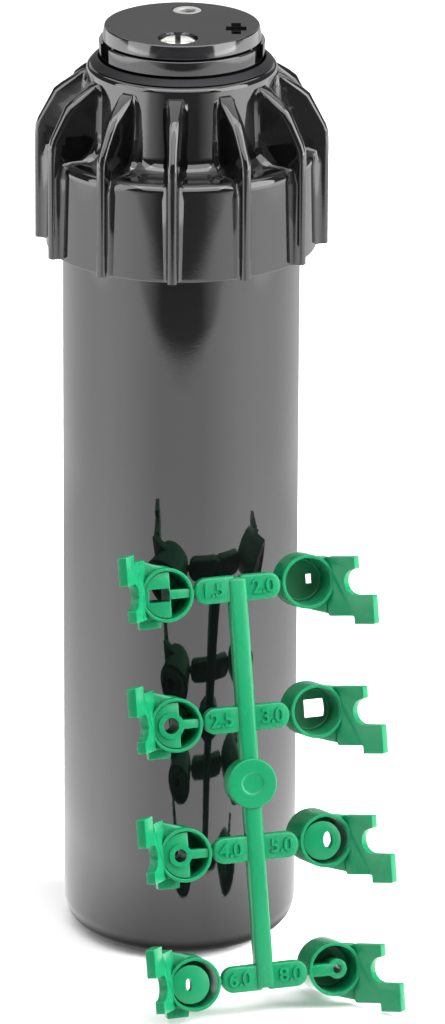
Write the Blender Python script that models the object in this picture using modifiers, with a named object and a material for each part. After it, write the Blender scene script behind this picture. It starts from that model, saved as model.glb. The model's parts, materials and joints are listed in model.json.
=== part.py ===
"""A gear-driven pop-up sprinkler with its moulded tree of spare nozzles.

The canister stands on its inlet with its axis on Z. The nozzle tree stands on the floor
in front of it and leans back against it.
"""
import math

import bmesh
import bpy
from mathutils import Matrix, Vector

MM = 0.001

# Fits
GAP = 0.3 * MM
RUNNING = 0.1 * MM
SLIDING = 0.4 * MM

# Canister
CANISTER_RADIUS = 23.5 * MM
CANISTER_WALL = 2.3 * MM
CANISTER_HEIGHT = 160.0 * MM
BASE_CORNER = 6.0 * MM
BASE_THICKNESS = 3.0 * MM
INLET_RADIUS = 12.4 * MM
INLET_BOSS_WALL = 3.4 * MM
INLET_BOSS_HEIGHT = 20.0 * MM
RIB_COUNT = 6
RIB_DEPTH = 0.8 * MM
RIB_WIDTH = 1.6 * MM
RIB_BASE = 0.6 * MM

# Riser
SPRING_ROOM = 5.2 * MM
RISER_RADIUS = CANISTER_RADIUS - CANISTER_WALL - SPRING_ROOM
RISER_WALL = 1.8 * MM
RISER_FLANGE_REACH = 1.5 * MM
RISER_FLANGE_THICKNESS = 2.0 * MM
RATCHET_HEIGHT = 4.6 * MM
POP_UP_TRAVEL = 100.0 * MM

# Cap and seal
SEAL_FLANGE = 1.8 * MM
SEAL_SLEEVE = 0.6 * MM
SEAL_BEAD = 2.9 * MM
SEAL_BEAD_REACH = 1.35 * MM
CAP_SKIRT_WALL = 3.0 * MM
CAP_SKIRT_DROP = 19.7 * MM
CAP_SHOULDER = 2.6 * MM
CAP_NECK_HEIGHT = 16.9 * MM
CAP_NECK_WALL = 1.5 * MM
CAP_FOOT_FILLET = 3.2 * MM
CAP_EDGE = 0.9 * MM
FIN_COUNT = 12
FIN_OFFSET = math.radians(-93.6)
FIN_REACH = 2.2 * MM
FIN_THICKNESS = 2.0 * MM
FIN_BITE = 0.7 * MM
FIN_BREAK_DROP = 5.8 * MM
FIN_EDGE_DROP = 12.6 * MM
FIN_BREAK_BACK = 3.8 * MM

# Retraction spring
SPRING_WIRE = 1.8 * MM
SPRING_TURNS = 12
SPRING_CURL = 9
SPRING_SEAT = 2.6 * MM
SPRING_LIP = 1.4 * MM

# Turret
TURRET_RIM = 0.5 * MM
TURRET_RIM_HEIGHT = 2.2 * MM
TURRET_BARREL = 27.0 * MM
COVER_HEIGHT = 2.6 * MM
COVER_EDGE = 0.35 * MM
COVER_TAPER = 0.6 * MM
COVER_INSET = 0.6 * MM
NOZZLE_RISE = math.radians(25.0)
NOZZLE_RADIUS = 5.4 * MM
NOZZLE_WALL = 1.1 * MM
NOZZLE_LENGTH = 7.5 * MM
PORT_HEIGHT = 9.0 * MM
FITTED_START = 2.4 * MM
FITTED_LENGTH = 7.4 * MM
FITTED_ORIFICE = 2.3 * MM
SCREW_EDGE = 6.2 * MM
SCREW_ANGLE = math.radians(-94.7)
SCREW_HEAD = 3.5 * MM
SCREW_HEAD_HEIGHT = 1.6 * MM
SCREW_SHANK = 1.4 * MM
SCREW_DROP = 12.6 * MM
SCREW_SLOT = 1.0 * MM
KEY_SOCKET_EDGE = 6.1 * MM
KEY_SOCKET_ANGLE = math.radians(84.2)
KEY_SOCKET_RADIUS = 2.4 * MM
KEY_SOCKET_DEPTH = 6.0 * MM
STEM_SHARE = 0.4
STEM_WALL = 1.3 * MM
STEM_ENTRY = 2.6 * MM
STEM_WINDOW = 5.0 * MM
STEM_WINDOW_HEIGHT = 12.0 * MM
STEM_TAIL = 8.0 * MM
WASHER_THICKNESS = 1.0 * MM
BEARING_HEIGHT = 7.0 * MM

# Arc setting gears
ARC_WALL = 1.3464 * MM
ARC_PINION_TEETH = 8
ARC_RING_TEETH = 28
ARC_ANGLE = math.radians(-16.3)
ARC_FACE = 2.6 * MM
ARC_SHAFT = 1.5 * MM
ARC_HEAD = 2.3 * MM
ARC_HEAD_HEIGHT = 2.0 * MM
ARC_SOCKET = 0.9 * MM

# Gear drive
CASE_ROOM = 1.5175 * MM
PINION_TEETH = 8
WHEEL_TEETH = 20
BACKLASH = 0.2 * MM
WHEEL_FACE = 1.8 * MM
PINION_FACE = 3.2 * MM
STAGE_GAP = 0.4 * MM
PIN_RADIUS = 0.6 * MM
CASE_WALL = 1.1 * MM
CASE_FLOOR = 1.8 * MM
CASE_LID = 2.0 * MM
CASE_LEG_COUNT = 4
CASE_LEG_WIDTH = 2.4 * MM
CLUTCH_RADIUS = 4.2 * MM
CLUTCH_HEIGHT = 3.0 * MM
CLUTCH_SHAFT = 2.2 * MM

# Turbine, stator and filter
TURBINE_SHAFT = 0.8 * MM
TURBINE_HUB = 4.4 * MM
TURBINE_BLADES = 8
TURBINE_HEIGHT = 5.0 * MM
BLADE_THICKNESS = 0.9 * MM
BLADE_TILT = math.radians(32.0)
STATOR_HEIGHT = 4.0 * MM
STATOR_PORTS = 6
STATOR_HUB = 5.0 * MM
STATOR_RIM = 1.6 * MM
FILTER_WALL = 1.2 * MM
FILTER_FLANGE = 1.6 * MM
FILTER_HEIGHT = 26.0 * MM
FILTER_SLOT = 4.2 * MM

# Nozzle tree
TREE_ROWS = 4
TREE_PITCH = 25.85 * MM
TREE_REACH = 14.48 * MM
TREE_LEAN = math.radians(15.8)
TREE_YAW = math.radians(15.6)
TREE_ACROSS = 14.25 * MM
SPINE_WIDTH = 3.6 * MM
TAG_HEIGHT = 5.2 * MM
RACK_THICKNESS = 2.4 * MM
HUB_RADIUS = 5.0 * MM
FORK_LENGTH = 12.2 * MM
FORK_ARM = 7.4 * MM
FORK_TOP = 4.5 * MM
FORK_BASE = 7.3 * MM
FORK_HEEL = 6.4 * MM
FORK_FOOT = 9.0 * MM
FORK_NOTCH = 2.6 * MM
FORK_NOTCH_FLOOR = 4.5 * MM
FORK_NOTCH_DROP = 0.6 * MM
FORK_THICKNESS = 1.8 * MM
FORK_SLANT = math.radians(48.4)
FORK_ROOT = 0.8 * MM
ORIFICES = [
    0.8 * MM,
    1.0 * MM,
    1.3 * MM,
    1.5 * MM,
    1.8 * MM,
    2.1 * MM,
    2.4 * MM,
    2.8 * MM,
]

# Roundness
COARSE = 14
MEDIUM = 24
FINE = 40

for old in list(bpy.data.objects):
    bpy.data.objects.remove(old, do_unlink=True)

PARTS = bpy.data.collections.new("pop_up_sprinkler")
TOOLS = bpy.data.collections.new("cutters")
bpy.context.scene.collection.children.link(PARTS)
bpy.context.scene.collection.children.link(TOOLS)


def material(name, colour, roughness, metallic=0.0):
    made = bpy.data.materials.new(name)
    made.use_nodes = True
    shader = made.node_tree.nodes["Principled BSDF"]
    shader.inputs["Base Color"].default_value = (*colour, 1.0)
    shader.inputs["Roughness"].default_value = roughness
    shader.inputs["Metallic"].default_value = metallic
    return made


BLACK_PLASTIC = material("black_abs", (0.012, 0.012, 0.013), 0.14)
BLACK_RUBBER = material("black_rubber", (0.02, 0.02, 0.02), 0.6)
GREY_PLASTIC = material("grey_acetal", (0.35, 0.35, 0.34), 0.4)
WHITE_PLASTIC = material("white_acetal", (0.75, 0.75, 0.72), 0.4)
GREEN_PLASTIC = material("green_plastic", (0.03, 0.32, 0.15), 0.25)
STEEL = material("stainless_steel", (0.6, 0.6, 0.6), 0.25, 1.0)


def piece(obj, look):
    """Files an object with the parts and gives it its material."""
    for home in list(obj.users_collection):
        home.objects.unlink(obj)
    PARTS.objects.link(obj)
    obj.data.materials.clear()
    obj.data.materials.append(look)
    return obj


def tool(obj):
    """Files an object with the cutters, out of sight."""
    for home in list(obj.users_collection):
        home.objects.unlink(obj)
    TOOLS.objects.link(obj)
    obj.hide_render = True
    obj.display_type = "WIRE"
    return obj


def new_object(name, mesh):
    obj = bpy.data.objects.new(name, mesh)
    bpy.context.scene.collection.objects.link(obj)
    return obj


def turned(name, profile, steps):
    """A turned shape. The profile of (radius, height) runs down its outer side."""
    points = [(radius, 0.0, height) for radius, height in profile]
    edges = [(i, i + 1) for i in range(len(points) - 1)]
    if profile[0][0] > 0.0:
        edges.append((len(points) - 1, 0))
    mesh = bpy.data.meshes.new(name)
    mesh.from_pydata(points, edges, [])
    obj = new_object(name, mesh)
    screw = obj.modifiers.new("turn", "SCREW")
    screw.axis = "Z"
    screw.angle = 2.0 * math.pi
    screw.steps = steps
    screw.render_steps = steps
    screw.use_merge_vertices = True
    screw.merge_threshold = 0.00001
    return obj


def prism(name, outlines, low, high):
    """A flat outline, with any holes, made solid between two heights."""
    curve = bpy.data.curves.new(name, "CURVE")
    curve.dimensions = "2D"
    curve.fill_mode = "BOTH"
    curve.extrude = (high - low) / 2.0
    for outline in outlines:
        spline = curve.splines.new("POLY")
        spline.points.add(len(outline) - 1)
        spline.use_cyclic_u = True
        for point, (x, y) in zip(spline.points, outline):
            point.co = (x, y, 0.0, 1.0)
    drawn = new_object(name + "_outline", curve)
    bpy.context.view_layer.update()
    mesh = bpy.data.meshes.new_from_object(drawn)
    bpy.data.objects.remove(drawn, do_unlink=True)
    body = bmesh.new()
    body.from_mesh(mesh)
    bmesh.ops.remove_doubles(body, verts=body.verts, dist=0.000001)
    bmesh.ops.translate(body, verts=body.verts, vec=(0.0, 0.0, (low + high) / 2.0))
    bmesh.ops.recalc_face_normals(body, faces=body.faces)
    body.to_mesh(mesh)
    body.free()
    return new_object(name, mesh)


def circle(radius, steps, centre=(0.0, 0.0)):
    turn = 2.0 * math.pi / steps
    return [
        (centre[0] + radius * math.cos(turn * i), centre[1] + radius * math.sin(turn * i))
        for i in range(steps)
    ]


def box(name, low, high):
    corners = [(low[0], low[1]), (high[0], low[1]), (high[0], high[1]), (low[0], high[1])]
    return prism(name, [corners], low[2], high[2])


def arc(centre_r, centre_z, radius, start, end, count):
    """Points of a rounded corner in a turned profile, angles in degrees."""
    points = []
    for i in range(count + 1):
        angle = math.radians(start + (end - start) * i / count)
        points.append((centre_r + radius * math.cos(angle), centre_z + radius * math.sin(angle)))
    return points


def boolean(obj, other, operation):
    change = obj.modifiers.new(operation.lower(), "BOOLEAN")
    change.operation = operation
    change.solver = "EXACT"
    change.object = tool(other)
    return obj


def add(obj, other):
    return boolean(obj, other, "UNION")


def cut(obj, other):
    return boolean(obj, other, "DIFFERENCE")


def repeated(name, source, count, start=0.0):
    """Copies of one solid round the Z axis, as one cutter."""
    body = bmesh.new()
    for i in range(count):
        before = len(body.verts)
        body.from_mesh(source.data)
        body.verts.ensure_lookup_table()
        turn = Matrix.Rotation(start + 2.0 * math.pi * i / count, 4, "Z")
        bmesh.ops.transform(body, matrix=turn @ source.matrix_basis, verts=body.verts[before:])
    mesh = bpy.data.meshes.new(name)
    body.to_mesh(mesh)
    body.free()
    bpy.data.objects.remove(source, do_unlink=True)
    return new_object(name, mesh)


def gear_outline(teeth, module, phase, backlash=BACKLASH):
    """A gear with straight-sided teeth, the first one centred on the phase angle."""
    pitch = module * teeth / 2.0
    tip = pitch + 0.85 * module
    root = pitch - 1.2 * module
    slope = math.tan(math.radians(20.0))
    half = math.pi * module / 4.0 - backlash / 2.0
    tip_half = (half - 0.85 * module * slope) / tip
    root_half = (half + 0.7 * module * slope) / root
    points = []
    for i in range(teeth):
        middle = phase + 2.0 * math.pi * i / teeth
        for radius, offset in (
            (root, -root_half),
            (tip, -tip_half),
            (tip, tip_half),
            (root, root_half),
        ):
            points.append((radius * math.cos(middle + offset), radius * math.sin(middle + offset)))
    return points


# Heights that the stack sets
CANISTER_BORE = CANISTER_RADIUS - CANISTER_WALL
BOSS_RADIUS = INLET_RADIUS + INLET_BOSS_WALL
RISER_BORE = RISER_RADIUS - RISER_WALL
SEAL_BORE = RISER_RADIUS + SLIDING
SEAL_SLEEVE_RADIUS = SEAL_BORE + SEAL_SLEEVE
SEAL_FLANGE_TOP = CANISTER_HEIGHT + GAP + SEAL_FLANGE
CAP_CEILING = SEAL_FLANGE_TOP + GAP
CAP_SHOULDER_TOP = CAP_CEILING + CAP_SHOULDER
CAP_NECK_TOP = CAP_SHOULDER_TOP + CAP_NECK_HEIGHT
CAP_NECK_BORE = SEAL_SLEEVE_RADIUS + GAP
CAP_NECK_RADIUS = CAP_NECK_BORE + CAP_NECK_WALL
CAP_SKIRT_BORE = CANISTER_RADIUS + GAP
CAP_SKIRT_RADIUS = CAP_SKIRT_BORE + CAP_SKIRT_WALL
CAP_SKIRT_BOTTOM = CAP_SHOULDER_TOP - CAP_SKIRT_DROP
SEAL_TOP = CAP_NECK_TOP + GAP + SEAL_BEAD
TURRET_SEAT = SEAL_TOP + GAP
TURRET_TOP = TURRET_SEAT + TURRET_RIM_HEIGHT
COVER_BOTTOM = TURRET_TOP + GAP
COVER_TOP = COVER_BOTTOM + COVER_HEIGHT
TURRET_RADIUS = RISER_RADIUS - RUNNING
SCREW_REACH = TURRET_RADIUS - SCREW_EDGE
KEY_SOCKET_REACH = TURRET_RADIUS - KEY_SOCKET_EDGE
STEM_RADIUS = STEM_SHARE * RISER_RADIUS
ARC_MODULE = (STEM_RADIUS + RUNNING + ARC_WALL) / (ARC_RING_TEETH / 2.0 - 1.2)
GEAR_SPAN = (PINION_TEETH + 2.0 * WHEEL_TEETH) / 2.0 + 0.85
GEAR_MODULE = (RISER_BORE - CASE_ROOM - CASE_WALL - SLIDING) / GEAR_SPAN
TURRET_BOTTOM = TURRET_SEAT - TURRET_BARREL
WASHER_TOP = TURRET_BOTTOM - GAP
RISER_TOP = WASHER_TOP - WASHER_THICKNESS - GAP
RISER_BOTTOM = INLET_BOSS_HEIGHT + GAP
RISER_FLANGE_TOP = RISER_BOTTOM + RISER_FLANGE_THICKNESS
RATCHET_BOTTOM = RISER_FLANGE_TOP + GAP
RATCHET_TOP = RATCHET_BOTTOM + RATCHET_HEIGHT
SPRING_SEAT_TOP = CANISTER_HEIGHT
SPRING_SEAT_BOTTOM = SPRING_SEAT_TOP - SPRING_SEAT

# Canister: a moulded cup with its inlet socket and guide ribs inside
canister = turned(
    "canister",
    [(CANISTER_RADIUS, CANISTER_HEIGHT)]
    + arc(CANISTER_RADIUS - BASE_CORNER, BASE_CORNER, BASE_CORNER, 0.0, -90.0, 5)
    + [
        (INLET_RADIUS, 0.0),
        (INLET_RADIUS, INLET_BOSS_HEIGHT),
        (BOSS_RADIUS, INLET_BOSS_HEIGHT),
        (BOSS_RADIUS, BASE_THICKNESS),
        (CANISTER_BORE - BASE_CORNER / 2.0, BASE_THICKNESS),
        (CANISTER_BORE, BASE_THICKNESS + BASE_CORNER / 2.0),
        (CANISTER_BORE, CANISTER_HEIGHT),
    ],
    FINE,
)
rib = box(
    "rib",
    (CANISTER_BORE - RIB_DEPTH, -RIB_WIDTH / 2.0, INLET_BOSS_HEIGHT),
    (CANISTER_BORE + RIB_BASE, RIB_WIDTH / 2.0, SPRING_SEAT_BOTTOM - SPRING_LIP - 2.0 * GAP),
)
add(canister, repeated("guide_ribs", rib, RIB_COUNT))
piece(canister, BLACK_PLASTIC)

# Wiper seal: rubber, clamped under the cap, with its bead over the neck
wiper_seal = turned(
    "wiper_seal",
    [(SEAL_BORE + 0.3 * MM, SEAL_TOP)]
    + arc(
        SEAL_SLEEVE_RADIUS + SEAL_BEAD_REACH - 1.1 * MM,
        SEAL_TOP - 1.1 * MM,
        1.1 * MM,
        90.0,
        0.0,
        3,
    )
    + [
        (SEAL_SLEEVE_RADIUS + SEAL_BEAD_REACH, CAP_NECK_TOP + GAP),
        (SEAL_SLEEVE_RADIUS, CAP_NECK_TOP + GAP),
        (SEAL_SLEEVE_RADIUS, SEAL_FLANGE_TOP),
        (CANISTER_RADIUS - GAP, SEAL_FLANGE_TOP),
        (CANISTER_RADIUS - GAP, CANISTER_HEIGHT + GAP),
        (SEAL_BORE, CANISTER_HEIGHT + GAP),
        (SEAL_BORE, SEAL_TOP - 0.4 * MM),
    ],
    MEDIUM,
)
piece(wiper_seal, BLACK_RUBBER)

# Cap: skirt, shoulder and neck in one turned body, with a ring of grip fins
cap = turned(
    "cap",
    [
        (CAP_NECK_BORE, CAP_NECK_TOP),
        (CAP_NECK_RADIUS - 0.4 * MM, CAP_NECK_TOP),
        (CAP_NECK_RADIUS, CAP_NECK_TOP - 0.4 * MM),
    ]
    + arc(
        CAP_NECK_RADIUS + CAP_FOOT_FILLET,
        CAP_SHOULDER_TOP + CAP_FOOT_FILLET,
        CAP_FOOT_FILLET,
        180.0,
        270.0,
        3,
    )
    + arc(CAP_SKIRT_RADIUS - CAP_EDGE, CAP_SHOULDER_TOP - CAP_EDGE, CAP_EDGE, 90.0, 0.0, 2)
    + [
        (CAP_SKIRT_RADIUS, CAP_SKIRT_BOTTOM),
        (CAP_SKIRT_BORE, CAP_SKIRT_BOTTOM),
        (CAP_SKIRT_BORE, CAP_CEILING),
        (CAP_NECK_BORE, CAP_CEILING),
    ],
    FINE,
)
FIN_RADIUS = CAP_SKIRT_RADIUS + FIN_REACH
FIN_TOP = CAP_NECK_TOP - 2.0 * MM
fin = prism(
    "fin",
    [
        [
            (CAP_NECK_RADIUS - FIN_BITE, FIN_TOP),
            (CAP_NECK_RADIUS - FIN_BITE, CAP_SHOULDER_TOP - FIN_BITE),
            (CAP_SKIRT_RADIUS - FIN_BITE, CAP_SHOULDER_TOP - FIN_BITE - CAP_EDGE),
            (CAP_SKIRT_RADIUS - FIN_BITE, CAP_SKIRT_BOTTOM + GAP),
            (FIN_RADIUS, CAP_SKIRT_BOTTOM + GAP),
            (FIN_RADIUS, CAP_NECK_TOP - FIN_EDGE_DROP),
            (FIN_RADIUS - FIN_BREAK_BACK, CAP_NECK_TOP - FIN_BREAK_DROP),
        ]
    ],
    -FIN_THICKNESS / 2.0,
    FIN_THICKNESS / 2.0,
)
fin.matrix_basis = Matrix.Rotation(math.pi / 2.0, 4, "X")
add(cap, repeated("grip_fins", fin, FIN_COUNT, FIN_OFFSET))
piece(cap, BLACK_PLASTIC)

# Spring seat: a ring under the seal that centres the top coil
SEAT_RADIUS = CANISTER_BORE - GAP
spring_seat = turned(
    "spring_seat",
    [
        (SEAT_RADIUS, SPRING_SEAT_TOP),
        (SEAT_RADIUS, SPRING_SEAT_BOTTOM - SPRING_LIP),
        (SEAT_RADIUS - 0.8 * MM, SPRING_SEAT_BOTTOM - SPRING_LIP),
        (SEAT_RADIUS - 0.8 * MM, SPRING_SEAT_BOTTOM),
        (SEAL_BORE, SPRING_SEAT_BOTTOM),
        (SEAL_BORE, SPRING_SEAT_TOP),
    ],
    MEDIUM,
)
piece(spring_seat, GREY_PLASTIC)

# Retraction spring: one wound wire between the ratchet ring and the spring seat
SPRING_OUTSIDE = CANISTER_BORE - RIB_DEPTH
SPRING_RADIUS = (RISER_RADIUS + SPRING_OUTSIDE) / 2.0
SPRING_LOW = RATCHET_TOP + GAP + SPRING_WIRE / 2.0
SPRING_HIGH = SPRING_SEAT_BOTTOM - GAP - SPRING_WIRE / 2.0
coil = bpy.data.curves.new("retraction_spring", "CURVE")
coil.dimensions = "3D"
coil.bevel_depth = SPRING_WIRE / 2.0
coil.bevel_resolution = 1
coil.use_fill_caps = True
wire = coil.splines.new("POLY")
SPRING_POINTS = SPRING_TURNS * SPRING_CURL
wire.points.add(SPRING_POINTS)
coil_points = []
for i in range(SPRING_POINTS + 1):
    turn = 2.0 * math.pi * i / SPRING_CURL
    rise = SPRING_LOW + (SPRING_HIGH - SPRING_LOW) * i / SPRING_POINTS
    place = Vector((SPRING_RADIUS * math.cos(turn), SPRING_RADIUS * math.sin(turn), rise))
    coil_points.append(place)
    wire.points[i].co = (*place, 1.0)
retraction_spring = new_object("retraction_spring", coil)
piece(retraction_spring, STEEL)
least = min(
    (coil_points[i] - coil_points[j]).length
    for i in range(SPRING_POINTS + 1)
    for j in range(i + SPRING_CURL - 2, SPRING_POINTS + 1)
)
print("least gap of the spring to itself, mm:", round((least - SPRING_WIRE) / MM, 3))

# Riser tube, with the flange that carries the ratchet ring
riser_tube = turned(
    "riser_tube",
    [
        (RISER_RADIUS, RISER_TOP),
        (RISER_RADIUS, RISER_FLANGE_TOP),
        (RISER_RADIUS + RISER_FLANGE_REACH, RISER_FLANGE_TOP),
        (RISER_RADIUS + RISER_FLANGE_REACH, RISER_BOTTOM),
        (RISER_BORE, RISER_BOTTOM),
        (RISER_BORE, RISER_TOP),
    ],
    FINE,
)
piece(riser_tube, BLACK_PLASTIC)

# Ratchet ring: slides on the guide ribs and keeps the riser from turning
RATCHET_RADIUS = CANISTER_BORE - SLIDING
NOTCH_FLOOR = CANISTER_BORE - RIB_DEPTH - SLIDING
NOTCH_HALF = RIB_WIDTH / 2.0 + SLIDING
ring_outline = []
for i in range(RIB_COUNT):
    middle = 2.0 * math.pi * i / RIB_COUNT
    floor_half = math.asin(NOTCH_HALF / NOTCH_FLOOR)
    lip_half = math.asin(NOTCH_HALF / RATCHET_RADIUS)
    ring_outline.append((RATCHET_RADIUS, middle - lip_half))
    ring_outline.append((NOTCH_FLOOR, middle - floor_half))
    ring_outline.append((NOTCH_FLOOR, middle + floor_half))
    ring_outline.append((RATCHET_RADIUS, middle + lip_half))
    span = 2.0 * math.pi / RIB_COUNT - 2.0 * lip_half
    for j in range(1, 5):
        ring_outline.append((RATCHET_RADIUS, middle + lip_half + span * j / 5.0))
ratchet_ring = prism(
    "ratchet_ring",
    [
        [(r * math.cos(a), r * math.sin(a)) for r, a in ring_outline],
        circle(RISER_RADIUS + GAP, MEDIUM),
    ],
    RATCHET_BOTTOM,
    RATCHET_TOP,
)
piece(ratchet_ring, WHITE_PLASTIC)

# Filter screen: a slotted basket that stands up inside the riser from its foot
FILTER_RADIUS = RISER_BORE - GAP - FILTER_FLANGE
FILTER_FOOT = RISER_BOTTOM + FILTER_FLANGE
FILTER_TOP = FILTER_FOOT + FILTER_HEIGHT
filter_screen = turned(
    "filter_screen",
    [
        (0.0, FILTER_TOP),
        (FILTER_RADIUS, FILTER_TOP),
        (FILTER_RADIUS, FILTER_FOOT),
        (RISER_BORE - GAP, FILTER_FOOT),
        (RISER_BORE - GAP, RISER_BOTTOM),
        (FILTER_RADIUS - FILTER_WALL, RISER_BOTTOM),
        (FILTER_RADIUS - FILTER_WALL, FILTER_TOP - FILTER_WALL),
        (0.0, FILTER_TOP - FILTER_WALL),
    ],
    MEDIUM,
)
slot = box(
    "slot",
    (FILTER_RADIUS - 2.0 * FILTER_WALL, -FILTER_SLOT / 2.0, FILTER_FOOT + 2.0 * FILTER_WALL),
    (FILTER_RADIUS + FILTER_WALL, FILTER_SLOT / 2.0, FILTER_TOP - 3.0 * FILTER_WALL),
)
cut(filter_screen, repeated("filter_slots", slot, 8, math.pi / 8.0))
piece(filter_screen, WHITE_PLASTIC)

# The drive is stacked down from the riser's top
BEARING_TOP = RISER_TOP
BEARING_BOTTOM = BEARING_TOP - BEARING_HEIGHT
STEM_TOP = TURRET_BOTTOM + STEM_ENTRY
STEM_BOTTOM = BEARING_BOTTOM - STEM_WINDOW_HEIGHT - STEM_TAIL
CLUTCH_TOP = STEM_BOTTOM - GAP
CLUTCH_BOTTOM = CLUTCH_TOP - CLUTCH_HEIGHT
LID_TOP = CLUTCH_BOTTOM - GAP
LID_BOTTOM = LID_TOP - CASE_LID
CASE_TOP = LID_BOTTOM - GAP
STAGE = WHEEL_FACE + PINION_FACE / 2.0 - WHEEL_FACE / 2.0 + STAGE_GAP
OUTPUT_TOP = LID_BOTTOM - STAGE_GAP
OUTPUT_BOTTOM = OUTPUT_TOP - WHEEL_FACE
GEAR_3_BOTTOM = OUTPUT_BOTTOM - STAGE
GEAR_2_BOTTOM = GEAR_3_BOTTOM - STAGE
GEAR_1_BOTTOM = GEAR_2_BOTTOM - STAGE
CASE_INSIDE = GEAR_1_BOTTOM - STAGE_GAP
CASE_BOTTOM = CASE_INSIDE - CASE_FLOOR
TURBINE_TOP = CASE_BOTTOM - 1.5 * MM
TURBINE_BOTTOM = TURBINE_TOP - TURBINE_HEIGHT
STATOR_TOP = TURBINE_BOTTOM - 1.0 * MM
STATOR_BOTTOM = STATOR_TOP - STATOR_HEIGHT
CENTRES = GEAR_MODULE * (PINION_TEETH + WHEEL_TEETH) / 2.0
WHEEL_TIP = GEAR_MODULE * (WHEEL_TEETH / 2.0 + 0.85)
PINION_TIP = GEAR_MODULE * (PINION_TEETH / 2.0 + 0.85)
CASE_BORE = CENTRES + WHEEL_TIP + SLIDING
CASE_RADIUS = CASE_BORE + CASE_WALL
WHEEL_GAP = math.pi / WHEEL_TEETH

# Riser bearing: the bush the drive stem turns in
riser_bearing = turned(
    "riser_bearing",
    [
        (RISER_BORE - GAP, BEARING_TOP),
        (RISER_BORE - GAP, BEARING_BOTTOM),
        (STEM_RADIUS + RUNNING, BEARING_BOTTOM),
        (STEM_RADIUS + RUNNING, BEARING_TOP),
    ],
    MEDIUM,
)
piece(riser_bearing, GREY_PLASTIC)

# Thrust washer between the riser and the turret
thrust_washer = turned(
    "thrust_washer",
    [
        (TURRET_RADIUS - GAP, WASHER_TOP),
        (TURRET_RADIUS - GAP, WASHER_TOP - WASHER_THICKNESS),
        (STEM_RADIUS + GAP, WASHER_TOP - WASHER_THICKNESS),
        (STEM_RADIUS + GAP, WASHER_TOP),
    ],
    MEDIUM,
)
piece(thrust_washer, WHITE_PLASTIC)

# Drive stem: a hollow shaft with windows that let the water in
drive_stem = turned(
    "drive_stem",
    [
        (0.0, STEM_BOTTOM + STEM_WALL),
        (STEM_RADIUS - STEM_WALL, STEM_BOTTOM + STEM_WALL),
        (STEM_RADIUS - STEM_WALL, STEM_TOP),
        (STEM_RADIUS, STEM_TOP),
        (STEM_RADIUS, STEM_BOTTOM),
        (0.0, STEM_BOTTOM),
    ],
    MEDIUM,
)
window = box(
    "window",
    (STEM_RADIUS - 2.0 * STEM_WALL, -STEM_WINDOW / 2.0, STEM_BOTTOM + 3.0 * STEM_WALL),
    (
        STEM_RADIUS + STEM_WALL,
        STEM_WINDOW / 2.0,
        STEM_BOTTOM + 3.0 * STEM_WALL + STEM_WINDOW_HEIGHT,
    ),
)
cut(drive_stem, repeated("stem_windows", window, 4, math.pi / 4.0))
piece(drive_stem, GREY_PLASTIC)

# Gear case: a cup on four legs, with its lid
gear_case = turned(
    "gear_case",
    [
        (CASE_RADIUS, CASE_TOP),
        (CASE_RADIUS, CASE_BOTTOM),
        (TURBINE_SHAFT + RUNNING, CASE_BOTTOM),
        (TURBINE_SHAFT + RUNNING, CASE_INSIDE),
        (CASE_BORE, CASE_INSIDE),
        (CASE_BORE, CASE_TOP),
    ],
    MEDIUM,
)
leg = box(
    "leg",
    (CASE_RADIUS - CASE_WALL / 2.0, -CASE_LEG_WIDTH / 2.0, CASE_BOTTOM + GAP),
    (RISER_BORE - GAP, CASE_LEG_WIDTH / 2.0, CASE_TOP - GAP),
)
add(gear_case, repeated("case_legs", leg, CASE_LEG_COUNT, math.pi / 4.0))
piece(gear_case, GREY_PLASTIC)

gear_case_lid = prism(
    "gear_case_lid",
    [
        circle(CASE_RADIUS, MEDIUM),
        circle(CLUTCH_SHAFT + RUNNING, COARSE),
        circle(PIN_RADIUS + RUNNING, 12, (CENTRES, 0.0)),
    ],
    LID_BOTTOM,
    LID_TOP,
)
piece(gear_case_lid, GREY_PLASTIC)


def compound(name, wheel_bottom, wheel_phase, pinion_phase, side):
    """A wheel with a pinion on top, bored for its pin. The origin is on the pin's axis."""
    wheel_top = wheel_bottom + WHEEL_FACE
    pinion_top = wheel_top + PINION_FACE
    wheel = prism(name, [gear_outline(WHEEL_TEETH, GEAR_MODULE, wheel_phase)], wheel_bottom, wheel_top)
    pinion = prism(
        name + "_pinion",
        [gear_outline(PINION_TEETH, GEAR_MODULE, pinion_phase)],
        wheel_top - WHEEL_FACE / 2.0,
        pinion_top,
    )
    bore = prism(
        name + "_bore",
        [circle(PIN_RADIUS + RUNNING, 10)],
        wheel_bottom - WHEEL_FACE,
        pinion_top + WHEEL_FACE,
    )
    add(wheel, pinion)
    cut(wheel, bore)
    for item in (wheel, pinion, bore):
        item.location.x = side
    return piece(wheel, WHITE_PLASTIC)


# Gear train: side gears on the side pin, centre gears on the centre pin
gear_1 = compound("gear_1", GEAR_1_BOTTOM, math.pi + WHEEL_GAP, math.pi, CENTRES)
gear_2 = compound("gear_2", GEAR_2_BOTTOM, WHEEL_GAP, 0.0, 0.0)
gear_3 = compound("gear_3", GEAR_3_BOTTOM, math.pi + WHEEL_GAP, math.pi, CENTRES)

# Output gear: its shaft goes up through the lid to the slip clutch under the stem
output_gear = prism(
    "output_gear",
    [gear_outline(WHEEL_TEETH, GEAR_MODULE, WHEEL_GAP)],
    OUTPUT_BOTTOM,
    OUTPUT_TOP,
)
clutch = turned(
    "clutch_drum",
    [
        (0.0, CLUTCH_TOP),
        (CLUTCH_RADIUS, CLUTCH_TOP),
        (CLUTCH_RADIUS, CLUTCH_BOTTOM),
        (CLUTCH_SHAFT, CLUTCH_BOTTOM),
        (CLUTCH_SHAFT, OUTPUT_TOP - WHEEL_FACE / 2.0),
        (0.0, OUTPUT_TOP - WHEEL_FACE / 2.0),
    ],
    COARSE,
)
add(output_gear, clutch)
piece(output_gear, WHITE_PLASTIC)

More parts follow.
